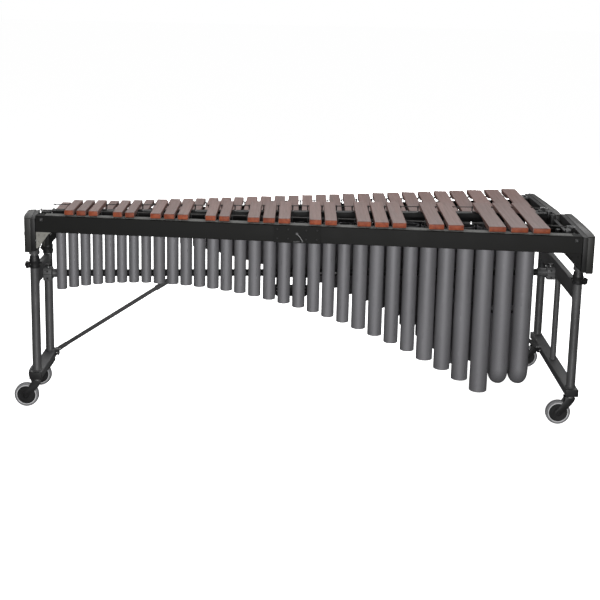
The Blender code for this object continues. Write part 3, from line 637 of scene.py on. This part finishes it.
def add_folded_tube(piece, x, y, radius, bottom, mouth):
    """A tube that turns round at the bottom and ends behind itself."""
    bend_z = bottom + 2 * radius
    inner = radius - TUBE_WALL
    piece.add(lathe(((radius, bend_z), (radius, mouth), (inner, mouth)), TUBE_SIDES, (x, y, 0)), TUBE)
    piece.add(lathe(((inner, mouth), (inner, bend_z), (0, bend_z)), TUBE_SIDES, (x, y, 0)), TUBE_INSIDE)
    rear_y = y + 2 * radius
    path = [(x, y, bend_z + 0.001)]
    for step in range(15):
        angle = math.pi * step / 14
        path.append((x, y + radius - radius * math.cos(angle), bend_z - radius * math.sin(angle)))
    path.append((x, rear_y, FOLD_RETURN_Z))
    piece.add(sweep(path, radius * 0.995, TUBE_SIDES), TUBE)
    band = [(radius * share, height) for share, height in ((0.9, 0), (1.02, 0), (1.02, 0.012), (0.9, 0.012))]
    piece.add(lathe(band, TUBE_SIDES, (x, rear_y, FOLD_RETURN_Z - 0.02), closed=True), PLASTIC)


def build_bank(name, tubes, line, mouth, ends):
    """Half a bank of tubes between two riveted straps, with a plate at each end."""
    piece = Piece()
    strap_z = mouth - 0.032
    ordered = sorted(tubes)
    for x, radius, bottom, folded in tubes:
        adder = add_folded_tube if folded else add_tube
        adder(piece, x, line_y(line, x), radius, bottom, mouth)
    holds = [(ends[0], ordered[0][1]), *(tube[:2] for tube in ordered), (ends[1], ordered[-1][1])]
    for side in (-1, 1):
        points = [(x, line_y(line, x) + side * (radius + 0.001) - 0.001) for x, radius in holds]
        piece.add(ribbon(points, 0.002, strap_z, strap_z + 0.015), BLACK)
        for x, radius, _, _ in ordered:
            place = (x, line_y(line, x) + side * (radius + 0.0018), strap_z + 0.0075)
            piece.add(lathe(((0.0032, 0), (0.0026, 0.0014), (0, 0.002)), 8, place, (0, side, 0)), ZINC)
    for x, way in ((ends[0], 1), (ends[1], -1)):
        y = line_y(line, x)
        piece.add(box((x, y - 0.034, strap_z - 0.004), (x + way * 0.003, y + 0.034, strap_z + 0.019), 0.0008),
                  BLACK)
    piece.finish(name + "_tubes", "keyboard", "anthracite_tube", name)


def build_resonators():
    front = [(x, FRONT_TUBE_DIAMETERS[run] / 2, front_bottom(index, x), index < 2)
             for index, (x, _, run) in enumerate(SLOTS)]
    rear = [(x, REAR_TUBE_DIAMETERS[run] / 2, rear_bottom(x), index < 3)
            for index, (x, _, run) in enumerate(NATURALS)]
    banks = (
        ("front_resonators", front, FRONT_BANK, FRONT_MOUTH_Z, NATURALS[FIRST_TREBLE][0], FRONT_BASS_END),
        ("rear_resonators", rear, REAR_BANK, REAR_MOUTH_Z, SPLIT_X, REAR_BASS_END),
    )
    for name, tubes, line, mouth, split, bass_end in banks:
        bass = [tube for tube in tubes if tube[0] > split]
        treble = [tube for tube in tubes if tube[0] < split]
        build_bank("bass_" + name, bass, line, mouth, (split, bass_end))
        build_bank("treble_" + name, treble, line, mouth, (REAR_TREBLE_END, split))


# ---- front rail ----

def build_front_rail():
    low, high = RAIL_BOTTOM_Z, RAIL_TOP_Z
    outline = (
        (0.0, low + 0.001), (0.0, high - 0.003), (0.0008, high - 0.0012), (0.0028, high), (0.050, high),
        (0.050, high - 0.004), (0.004, high - 0.004), (0.004, low + 0.004), (0.020, low + 0.004),
        (0.020, low), (0.001, low),
    )
    # The strip along the rail's top is pale grey: its colour is painted light on the top of the black rail
    strip = ((0.010, high), (0.012, high + 0.0016), (0.044, high + 0.0016), (0.046, high))
    split, gap, inset = -0.031, 0.0002, 0.035
    for end, outer_x, way in (("treble", TREBLE_END, 1), ("bass", FRONT_BASS_END, -1)):
        inner_x = split - way * gap
        piece = Piece()
        piece.add(prism(outline, "x", *sorted((outer_x, inner_x)), shear=RAIL_FRONT), RAIL)
        piece.add(prism(strip, "x", *sorted((outer_x + way * inset, inner_x)), shear=RAIL_FRONT), RAIL_TOP_PAINTED_LIGHT)
        x = outer_x + way * 0.021
        y = line_y(RAIL_FRONT, x)
        piece.add(box((x - 0.0075, y - 0.0035, high - 0.0235), (x + 0.0075, y + 0.001, high - 0.0085),
                      0.0012), PLASTIC)
        bolt(piece, (x, y - 0.0035, high - 0.016), (0, -1, 0), 0.0042, 0.0025, LEG)
        y = line_y(RAIL_FRONT, outer_x) + 0.035
        for offset in (0.012, 0.030):
            bolt(piece, (outer_x + way * offset, y, high), (0, 0, 1), 0.004, 0.0025, BLACK)
        piece.finish(end + "_front_rail_channel", "keyboard", "satin_black_paint", end + "_front_rail")
    plate = Piece()
    bottom, top = low - 0.002, high - 0.001
    outline = ((-0.003, bottom), (-0.003, top), (-0.0003, top), (-0.0003, bottom))
    plate.add(prism(outline, "x", -0.122, 0.060, width=0.0006, segments=1, shear=RAIL_FRONT), RAIL)
    for x in (-0.108, -0.066, 0.004, 0.046):
        for z in (low + 0.014, high - 0.016):
            bolt(plate, (x, line_y(RAIL_FRONT, x) - 0.003, z), (0, -1, 0), 0.0042, 0.002, BLACK)
    x = -0.032
    y = line_y(RAIL_FRONT, x) - 0.003
    plate.add(rod((x, y, LATCH_Z), (x, y - 0.0018, LATCH_Z), 0.0062, 20), BLACK)
    catch_x, catch_z = x - 0.004, 0.7535
    plate.add(box((catch_x - 0.011, y - 0.006, catch_z - 0.005),
                  (catch_x + 0.016, y + 0.001, catch_z + 0.005), 0.0015), PLASTIC)
    ring = ((0.0035, -0.001), (0.0055, -0.001), (0.0055, 0.001), (0.0035, 0.001))
    plate.add(lathe(ring, 16, (catch_x - 0.002, y - 0.007, catch_z), (0, 1, 0), closed=True), PLASTIC)
    plate.finish("rail_splice", "keyboard", "satin_black_paint", "splice_plate")
    hook = Piece()
    pivot = Vector((x, y - 0.0022, LATCH_Z))
    tip = pivot + Vector((0.0216, 0.0, -0.0288))
    middle = pivot.lerp(tip, 0.5) + Vector((0.001, 0, 0.001))
    hook.add(sweep([pivot, middle, tip, tip + Vector((0.001, 0.0, -0.003))], 0.0013, 8), ZINC)
    washer = ((0, -0.0016), (0.0036, -0.0016), (0.0040, 0), (0.0036, 0.0016), (0, 0.0016))
    hook.add(lathe(washer, 16, pivot, (0, 1, 0)), LEG)
    hook.add(rod(tip + Vector((0, -0.0015, -0.002)), tip + Vector((0, 0.001, -0.002)), 0.0026, 12), LEG)
    hook.finish("latch_hook_wire", "latch_hook", "bright_steel", "latch_hook")


# ---- end boards ----

def curved_outline(x_inner, x_outer, y_front, y_rear, bulge, corner):
    """A plan outline with a straight inner side and a gently curved outer side."""
    outline = [(x_inner, y_front), (x_inner, y_rear)]
    steps = 10
    way = 1 if x_outer > x_inner else -1
    for step in range(steps + 1):
        share = step / steps
        y = y_rear + (y_front - y_rear) * share
        y = min(max(y, y_front + (corner if step == steps else 0)), y_rear - (corner if step == 0 else 0))
        outline.append((x_outer - way * bulge * (2 * share - 1) ** 2, y))
    outline.append((x_outer - way * (bulge + corner * 0.5), y_front))
    return outline


def end_board(corner, inner_x, outer_x, gusset, drops=(0.0, 0.0), arm=False):
    """A board of two layers over a leg's socket; drops lower its top at the front and the rear."""
    node = corner + "_end_board"
    low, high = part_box(node)
    low, high = low - SHIFT, high - SHIFT
    y_front, y_rear = low.y, high.y
    z_low = 0.670 if corner.startswith("treble") else 0.675
    z_high = high.z
    way = 1 if outer_x > inner_x else -1
    split = inner_x + way * min(0.016, abs(outer_x - inner_x) * 0.4)
    piece = Piece()
    shell = prism(curved_outline(split, outer_x, y_front, y_rear, 0.003, 0.006),
                  "z", z_low, z_high, 0.0035, 3)
    core = prism(curved_outline(inner_x, split + way * 0.004, y_front + 0.002, y_rear - 0.0005, 0.0, 0.001),
                 "z", z_low + 0.004, z_high - 0.003, 0.0015, 2)
    for shape, look in ((shell, BOARD), (core, BOARD_INNER)):
        for vert in shape.verts:
            share = (vert.co.y - y_front) / (y_rear - y_front)
            if vert.co.z > (z_low + z_high) / 2:
                vert.co.z -= drops[0] * (1 - share) + drops[1] * share
                vert.co.z -= 0.006 * max(0.0, 1 - (vert.co.y - y_front) / 0.02) ** 2
        piece.add(shape, look)
    x, y = way * LEG_X, LEG_Y[corner]
    socket = ((0, 0.645), (0.0195, 0.645), (0.021, 0.6465), (0.021, 0.656), (0.0195, 0.6575),
              (0.0195, 0.664), (0.0225, z_low + 0.001), (0, z_low + 0.001))
    piece.add(lathe(socket, 32, (x, y, 0)), LEG)
    if arm:
        piece.add(box((inner_x + way * 0.012, y - 0.017, z_low + 0.0006),
                      (x + way * 0.017, y + 0.017, z_low + 0.011), 0.002), LEG)
    if gusset:
        x, y, z, towards, look = gusset
        top = RAIL_BOTTOM_Z - 0.0005
        outline = ((x - towards * 0.006, top), (x + towards * 0.062, top), (x + towards * 0.050, top - 0.008),
                   (x + towards * 0.006, z), (x - towards * 0.006, z))
        piece.add(prism(outline, "y", y, y + 0.004, 0.0008, 1), look)
        for along, drop in ((0.012, 0.014), (0.034, 0.014), (0.012, 0.040)):
            bolt(piece, (x + towards * along, y, top - drop), (0, -1, 0), 0.0035, 0.0022, look)
    plug = ((0, 0), (0.009, 0), (0.009, 0.0012), (0.007, 0.0022), (0, 0.0022))
    for share in (0.12, 0.5, 0.88):
        y = y_front + (y_rear - y_front) * share
        bolt(piece, (inner_x, y, (z_low + z_high) / 2 - 0.03), (-way, 0, 0), 0.0055, 0.003, ZINC)
        plug_x = outer_x - way * 0.006 * (2 * share - 1) ** 2 - way * 0.0008
        piece.add(lathe(plug, 20, (plug_x, y, 0.745), (way, 0, 0)), PLASTIC)
    piece.finish(corner + "_board", "keyboard", "dark_grey_lacquer", node)


def build_end_boards():
    inner = -1.062
    gusset = (inner, line_y(RAIL_FRONT, inner) + 0.004, 0.682, 1, GUSSET)
    end_board("treble_front", inner, -1.108, gusset, (0.011, 0.0))
    end_board("treble_rear", -1.030, -1.0617, None, (0.0, 0.055), True)
    inner = 1.052
    gusset = (inner, line_y(RAIL_FRONT, inner) + 0.009, 0.687, -1, RAIL)
    end_board("bass_front", inner, 1.100, gusset)
    end_board("bass_rear", 1.015, 1.060, None, (0.0, 0.03), True)


def build_bass_end_fittings():
    """Cross rails and blocks beside the last bass bars, between the supports and the end boards."""
    piece = Piece()
    for y in (line_y(line, 1.0) for line in NATURAL_CORDS):
        piece.add(box((0.988, y - 0.085, 0.768), (1.0, y + 0.028, 0.782), 0.002), BLACK)
        piece.add(box((0.986, y - 0.036, 0.762), (1.012, y - 0.012, 0.792), 0.003), PLASTIC)
        for offset in (-0.075, 0.018):
            bolt(piece, (0.994, y + offset, 0.782), (0, 0, 1), look=ZINC)
    piece.add(box((0.984, -0.085, 0.770), (0.996, 0.40, 0.776), 0.001), BLACK)
    piece.finish("bass_natural_end_frame", "keyboard", "satin_black_paint")
    piece = Piece()
    piece.add(box((1.020, -0.42, 0.790), (1.034, -0.10, 0.800), 0.0015), BLACK)
    for y in (line_y(line, 1.02) for line in ACCIDENTAL_CORDS):
        piece.add(box((1.006, y - 0.042, 0.796), (1.026, y - 0.016, 0.822), 0.003), PLASTIC)
        buffer = ((0, 0), (0.011, 0), (0.012, 0.002), (0.012, 0.012), (0.009, 0.014), (0, 0.014))
        piece.add(lathe(buffer, 20, (1.030, y + 0.024, 0.800)), PLASTIC)
        stop = ((0, 0), (0.009, 0), (0.009, 0.012), (0, 0.012))
        piece.add(lathe(stop, 20, (0.990, y + 0.028, 0.7985)), PLASTIC)
    piece.finish("bass_accidental_end_frame", "keyboard", "satin_black_paint")


# ---- stand ----

def star_knob(name, node, origin, direction, size=1.0):
    """A moulded hand screw with five lobes and a steel insert."""
    piece = Piece()
    lobe_depth = 0.176
    outline = []
    for angle in turns(40):
        radius = 0.0152 * (1 - lobe_depth * (1 - math.cos(5 * angle)) / 2)
        outline.append((radius * math.cos(angle), radius * math.sin(angle)))
    head = prism(outline, "z", 0.0045, 0.0150, 0.0022, 3)
    stem = lathe(((0, 0), (0.0062, 0), (0.0058, 0.003), (0.0085, 0.0055), (0, 0.0055)), 20)
    cap = lathe(((0.006, 0.0145), (0.005, 0.0156), (0, 0.0160)), 20)
    for shape, look in ((head, PLASTIC), (stem, ZINC), (cap, PLASTIC)):
        piece.add(aim(shape, origin, direction, size), look)
    piece.finish(name, node, "black_plastic", node)


def build_leg(corner, x, y):
    """A leg tube, its telescope, its collar and its hand screw."""
    profile = ((0, FOOT_Z), (0.0215, FOOT_Z), (0.0215, FOOT_Z + 0.003), (0.0185, FOOT_Z + 0.006),
               (LEG_RADIUS, FOOT_Z + 0.008), (LEG_RADIUS, 0.609), (0.0172, 0.610), (0.0148, 0.610),
               (0.0148, 0.360), (0, 0.360))
    tube = Piece().add(lathe(profile, 32, (x, y, 0)), LEG)
    tube.finish(corner + "_leg_tube", "stand", "charcoal_paint", corner + "_leg")
    piece = Piece()
    profile = ((0, 0.400), (0.0140, 0.400), (0.0145, 0.4006), (0.0145, 0.6447), (0, 0.6447))
    piece.add(lathe(profile, 32, (x, y, 0)), LEG)
    for level in range(6):
        z = 0.43 + 0.03 * level
        ring = ((0.0143, z), (0.01465, z + 0.0004), (0.01465, z + 0.0011), (0.0143, z + 0.0015))
        piece.add(lathe(ring, 32, (x, y, 0), closed=True), ZINC)
    piece.finish(corner + "_telescope_tube", "keyboard", "charcoal_paint", corner + "_telescope")
    piece = Piece()
    profile = ((0.0183, 0.5895), (0.0208, 0.5895), (0.0215, 0.591), (0.0215, 0.597), (0.0205, 0.598),
               (0.0205, 0.6155), (0.0215, 0.617), (0.0215, 0.622), (0.0195, 0.626), (0.0187, 0.636),
               (0.0178, 0.638), (0.0149, 0.638), (0.0149, 0.6103), (0.0183, 0.6103))
    piece.add(lathe(profile, 36, (x, y, 0), closed=True), PLASTIC)
    outward = Vector((math.copysign(1, x), -1 if corner.endswith("front") else 1, 0)).normalized()
    across = Vector((-outward.y, outward.x, 0))
    centre = Vector((x, y, HAND_SCREW_Z))
    for side in (-1, 1):
        start = centre - outward * 0.021 + across * side * 0.006
        piece.add(rod(start, start - outward * 0.006, 0.005, 12, 0.001), PLASTIC)
    start = centre + outward * 0.0195
    piece.add(rod(start, start + outward * 0.0021, 0.0085, 20, 0.0008), PLASTIC)
    piece.finish(corner + "_collar_clamp", "stand", "black_plastic", corner + "_collar")
    star_knob(corner + "_star_knob", corner + "_leg_knob", centre + outward * 0.0218, outward)


def build_caster(corner, x, y):
    """A fork with its stem and swivel head, and a wheel that trails towards the treble end."""
    trail, wheel_radius = 0.045, 0.050
    piece = Piece()
    head = ((0, 0.1265), (0.0165, 0.1265), (0.0175, 0.1255), (0.0175, 0.1215), (0.0165, 0.1205),
            (0.0165, 0.1195), (0.0185, 0.1185), (0.0185, 0.1150), (0, 0.1150))
    piece.add(lathe(head, 32, (x, y, 0)), ZINC)
    piece.add(rod((x, y, 0.110), (x, y, 0.1485), 0.008, 20), STEEL)
    hub = Vector((x - trail, y, wheel_radius))
    crown = ((x - 0.024, 0.1185), (x + 0.016, 0.1185), (x + 0.019, 0.115), (x + 0.019, 0.108),
             (x + 0.012, 0.1065), (x - 0.022, 0.1065))
    piece.add(prism(crown, "y", y - 0.0165, y + 0.0165, 0.0015, 2), PLASTIC)
    for side in (-1, 1):
        outline = []
        for step in range(13):
            angle = math.radians(110 + 190 * step / 12)
            outline.append((hub.x + 0.0145 * math.cos(angle), hub.z + 0.0145 * math.sin(angle)))
        outline += [(x + 0.006, 0.088), (x + 0.0165, 0.104), (x + 0.0165, 0.116), (x - 0.018, 0.116),
                    (x - 0.026, 0.100)]
        piece.add(prism(outline, "y", *sorted((y + side * 0.0135, y + side * 0.0172)), 0.0009, 2), PLASTIC)
        place = hub + Vector((0, side * 0.0172, 0))
        nut = ((0, 0), (0.0072, 0), (0.0072, 0.0008), (0.0055, 0.0028), (0, 0.0032))
        piece.add(lathe(nut, 6, place, (0, side, 0)), PLASTIC)
    piece.add(rod(hub - Vector((0, 0.0165, 0)), hub + Vector((0, 0.0165, 0)), 0.004, 16), STEEL)
    piece.finish(corner + "_fork", corner + "_caster", "black_plastic", corner + "_caster_fork")
    wheel = Piece()
    tread = ((0.0400, 0.0112), (0.0450, 0.0118), (0.0474, 0.0112), (0.0488, 0.0092), (0.0498, 0.006),
             (wheel_radius, 0.0025))
    tyre = [*tread, *((radius, -height) for radius, height in reversed(tread))]
    wheel.add(lathe(tyre, 56, hub, (0, 1, 0), closed=True), TYRE)
    for side in (-1, 1):
        ring = ((0.0376, side * 0.0108), (0.0384, side * 0.0121), (0.0402, side * 0.0121),
                (0.0412, side * 0.0112))
        wheel.add(lathe(ring, 48, hub, (0, 1, 0), closed=True), RING)
        disc = ((0.0379, side * 0.0105), (0.0368, side * 0.0112), (0.0340, side * 0.0098),
                (0.0150, side * 0.0098), (0.0125, side * 0.0125), (0.0045, side * 0.0127), (0.0045, 0))
        wheel.add(lathe(disc, 48, hub, (0, 1, 0)), PLASTIC)
        stud = ((0.0028, 0), (0.0024, 0.0012), (0, 0.0014))
        for angle in turns(8):
            place = hub + Vector((0.0250 * math.cos(angle), side * 0.0096, 0.0250 * math.sin(angle)))
            wheel.add(lathe(stud, 8, place, (0, side, 0)), PLASTIC)
    core = ((0.0390, 0.0106), (0.0390, -0.0106), (0.0045, -0.0100), (0.0045, 0.0100))
    wheel.add(lathe(core, 48, hub, (0, 1, 0), closed=True), PLASTIC)
    wheel.finish(corner + "_wheel_tyre", corner + "_wheel", "grey_rubber", corner + "_caster_wheel")


def build_end_frame(end, sign):
    """Two crossbars, with the legs and casters of one end."""
    x = sign * LEG_X
    front, rear = LEG_Y[end + "_front"], LEG_Y[end + "_rear"]
    piece = Piece()
    piece.add(box((x - 0.0125, front + 0.0183, 0.520), (x + 0.0125, rear - 0.0183, 0.589), 0.0035, 3), LEG)
    for y, way in ((front + 0.0183, 1), (rear - 0.0183, -1)):
        piece.add(box((x - 0.0145, y, 0.517), (x + 0.0145, y + way * 0.003, 0.592), 0.001), LEG)
    piece.finish(end + "_upper_bar", "stand", "charcoal_paint", end + "_upper_crossbar")
    piece = Piece()
    piece.add(box((x - 0.025, front - 0.031, 0.127), (x + 0.025, rear + 0.031, 0.157), 0.004, 3), LEG)
    for y, way in ((front - 0.031, -1), (rear + 0.031, 1)):
        piece.add(box((x - 0.0252, y - way * 0.001, 0.1268), (x + 0.0252, y + way * 0.004, 0.1572),
                      0.0018, 3), PLASTIC)
    piece.finish(end + "_lower_bar", "stand", "charcoal_paint", end + "_lower_crossbar")
    for place, y in (("front", front), ("rear", rear)):
        build_leg(f"{end}_{place}", x, y)
        build_caster(f"{end}_{place}", x, y)


def beam_point(x, drop=0.0):
    return Vector((x, line_y(BEAM_LINE, x), BEAM_Z - drop))


def build_beam():
    piece = Piece()
    piece.add(rod(beam_point(-1.034), beam_point(1.034), BEAM_RADIUS, 32, 0.001), BLACK)
    for sign in (-1, 1):
        for start, end, radius in ((0.996, 1.0355, 0.0175), (1.004, 1.012, 0.0195)):
            piece.add(rod(beam_point(sign * start), beam_point(sign * end), radius, 32, 0.001), LEG)
    for x, _, _ in SLOTS[10:16]:
        place = beam_point(x - 0.028)
        bolt(piece, (place.x, place.y - 0.0143, place.z), (0, -1, 0), 0.0045, 0.003, ZINC)
    piece.finish("beam_tube", "stand", "satin_black_paint", "centre_beam")
    joint = Piece()
    start, end = -0.122, 0.016
    sleeve = ((0.0148, 0), (0.021, 0), (0.0215, 0.001), (0.0215, 0.010), (0.0200, 0.011), (0.0200, 0.127),
              (0.0215, 0.128), (0.0215, 0.137), (0.021, 0.138), (0.0148, 0.138))
    along = beam_point(end) - beam_point(start)
    joint.add(lathe(sleeve, 36, beam_point(start), along, closed=True), BLACK)
    y = line_y(BEAM_LINE, (start + end) / 2)
    outline = ((start, 0.484), (end, 0.484), (end, 0.444), (end - 0.008, 0.436), (start + 0.008, 0.436),
               (start, 0.444))
    joint.add(prism(outline, "y", y - 0.006, y + 0.006, 0.0012, 2), BLACK)
    for x in (start + 0.012, end - 0.012):
        joint.add(box((x - 0.006, y - 0.005, 0.446), (x + 0.006, y + 0.005, 0.524), 0.001), BLACK)
        for z in (0.460, 0.474):
            for side in (-1, 1):
                bolt(joint, (x, y + side * 0.006, z), (0, side, 0), look=ZINC)
    joint.finish("beam_joint_sleeve", "stand", "satin_black_paint", "beam_joint")


def build_beam_clamp(end, sign):
    inner = sign * 1.036
    outer = sign * (LEG_X - 0.0128)
    y = line_y(BEAM_LINE, inner)
    low_x, high_x = sorted((inner, outer))
    piece = Piece()
    outline = ((y - 0.022, 0.510), (y - 0.022, 0.552), (y - 0.015, 0.5622), (y + 0.015, 0.5622),
               (y + 0.022, 0.552), (y + 0.022, 0.510))
    piece.add(prism(outline, "x", low_x, high_x, 0.002, 3), LEG)
    piece.add(box((low_x - 0.0006, y - 0.0225, 0.5355), (high_x + 0.0006, y + 0.0225, 0.5375), 0.0004), BLACK)
    middle = (inner + outer) / 2
    for side in (-1, 1):
        for z in (0.520, 0.550):
            bolt(piece, (middle, y + side * 0.022, z), (0, side, 0), 0.0042, 0.003, BLACK)
    seat = ((0, 0), (0.0095, 0), (0.0085, 0.0004), (0, 0.0004))
    piece.add(lathe(seat, 20, (middle, y, 0.5622)), ZINC)
    piece.finish(end + "_clamp_block", "stand", "black_plastic", end + "_beam_clamp")
    star_knob(end + "_clamp_star_knob", end + "_beam_clamp_knob", (middle, y, 0.5628), (0, 0, 1), 0.9)


def build_brace(end, sign):
    """A rod from the lower crossbar up to the beam, with a hand screw at its foot."""
    foot_y = {"treble": -0.005, "bass": 0.160}[end]
    foot = Vector((sign * 1.050, foot_y, FOOT_Z + 0.003))
    head = beam_point(sign * 0.550, BEAM_RADIUS + 0.0103)
    piece = Piece()
    along = (head - foot).normalized()
    piece.add(rod(foot + along * 0.010, head, 0.0085, 24, 0.001), LEG)
    piece.add(rod(foot + along * 0.004, foot + along * 0.045, 0.0098, 24, 0.001), LEG)
    piece.add(rod(head - along * 0.085, head - along * 0.004, 0.0112, 24, 0.003), LEG)
    piece.add(box((sign * 1.036, foot_y - 0.015, FOOT_Z), (sign * 1.0635, foot_y + 0.015, FOOT_Z + 0.006),
                  0.0012), LEG)
    for offset in (-0.009, 0.009):
        bolt(piece, (sign * 1.042, foot_y + offset, FOOT_Z + 0.006), (0, 0, 1), look=ZINC)
    run = Vector((1, BEAM_LINE[1], 0)).normalized() * 0.018
    piece.add(rod(head - run, head + run, 0.010, 28, 0.001), LEG)
    piece.add(box(head + Vector((-0.012, -0.013, -0.004)), head + Vector((0.012, -0.009, 0.012)), 0.001), LEG)
    bolt(piece, head + Vector((0, -0.013, 0.002)), (0, -1, 0), 0.0045, 0.003, ZINC)
    piece.finish(end + "_brace_rod", "stand", "charcoal_paint", end + "_brace")
    star_knob(end + "_brace_star_knob", end + "_brace_knob", (sign * (LEG_X - 0.0253), foot_y, 0.142),
              (-sign, 0, 0), 0.75)


def build_stand():
    """Both ends of the stand, the post between the bass crossbars and the beam."""
    for end, sign in (("treble", -1), ("bass", 1)):
        build_end_frame(end, sign)
        build_beam_clamp(end, sign)
        build_brace(end, sign)
    y = (LEG_Y["bass_front"] + LEG_Y["bass_rear"]) / 2
    profile = ((0, FOOT_Z), (0.015, FOOT_Z), (0.015, 0.160), (0.0125, 0.163), (0.0125, 0.514),
               (0.015, 0.517), (0.015, 0.5197), (0, 0.5197))
    post = Piece().add(lathe(profile, 32, (LEG_X, y, 0)), LEG)
    post.finish("bass_middle_post", "stand", "charcoal_paint", "bass_middle_upright")
    build_beam()


# ---- studio ----

def build_studio():
    floor_mesh = bpy.data.meshes.new("studio_floor")
    shape = bmesh.new()
    bmesh.ops.create_grid(shape, x_segments=1, y_segments=1, size=30)
    shape.to_mesh(floor_mesh)
    shape.free()
    made, tree, shader, vector = new_material("studio_floor")
    pale = ramp(tree, noise(tree, vector, 0.6), ((0.3, (0.86, 0.86, 0.86)), (0.7, (0.89, 0.89, 0.89))))
    tree.links.new(pale, shader.inputs["Base Color"])
    white = (1.0, 1.0, 1.0, 1.0)
    preset(shader, Roughness=0.9, Emission_Color=white, Emission_Strength=0.93)
    floor_mesh.materials.append(made)
    floor = placed("studio_floor", floor_mesh)
    floor.visible_diffuse = False
    floor.visible_glossy = False

    world = bpy.data.worlds.new("studio")
    bpy.context.scene.world = world
    world.use_nodes = True
    tree = world.node_tree
    background = tree.nodes["Background"]
    preset(background, Color=white, Strength=0.07)
    seen = tree.nodes.new("ShaderNodeBackground")
    preset(seen, Color=white, Strength=1.0)
    light_path = tree.nodes.new("ShaderNodeLightPath")
    choice = tree.nodes.new("ShaderNodeMixShader")
    tree.links.new(light_path.outputs["Is Camera Ray"], choice.inputs[0])
    for index, node in enumerate((background, seen), 1):
        tree.links.new(node.outputs[0], choice.inputs[index])
    tree.links.new(choice.outputs[0], tree.nodes["World Output"].inputs["Surface"])

    lamps = (
        ("key", (0.0, -4.6, 1.25), (0, 0, 0.6), (1.6, 1.2), 230),
        ("overhead", (0, 2.0, 3.4), (0, 0, 0.7), (6.0, 2.5), 200),
        ("rear_fill", (0.4, 4.8, 0.6), (0, 0, 0.4), (2.4, 0.9), 110),
    )
    for name, place, target, size, power in lamps:
        light = bpy.data.lights.new(name, "AREA")
        light.shape = "RECTANGLE"
        light.size, light.size_y = size
        light.energy = power
        lamp = placed(name, light)
        lamp.location = place
        lamp.visible_camera = False
        lamp.visible_glossy = name != "rear_fill"
        lamp.rotation_euler = (Vector(target) - Vector(place)).to_track_quat("-Z", "Y").to_euler()


def build_camera():
    """A camera above the keyboard, in front of its middle, that looks slightly down."""
    camera = bpy.data.cameras.new("camera")
    camera.sensor_width = 36
    camera.lens = 66.9054
    camera.shift_y = -0.2
    camera.clip_start = 0.05
    obj = placed("camera", camera)
    place = (0.0100, -4.5885, 1.8034)
    yaw, pitch, roll = -0.0011, 0.19, 0.0213
    forward = Vector((math.sin(yaw) * math.cos(pitch), math.cos(yaw) * math.cos(pitch), -math.sin(pitch)))
    right = Vector((math.cos(yaw), -math.sin(yaw), 0))
    up = right.cross(forward)
    turned_right = right * math.cos(roll) + up * math.sin(roll)
    turned_up = up * math.cos(roll) - right * math.sin(roll)
    rotation = Matrix((turned_right, turned_up, -forward)).transposed().to_4x4()
    obj.matrix_world = Matrix.Translation(place) @ rotation
    bpy.context.scene.camera = obj
    bpy.context.scene.view_settings.view_transform = "Standard"


build_bars()
build_supports()
build_resonators()
build_front_rail()
build_end_boards()
build_bass_end_fittings()
build_stand()
build_studio()
build_camera()
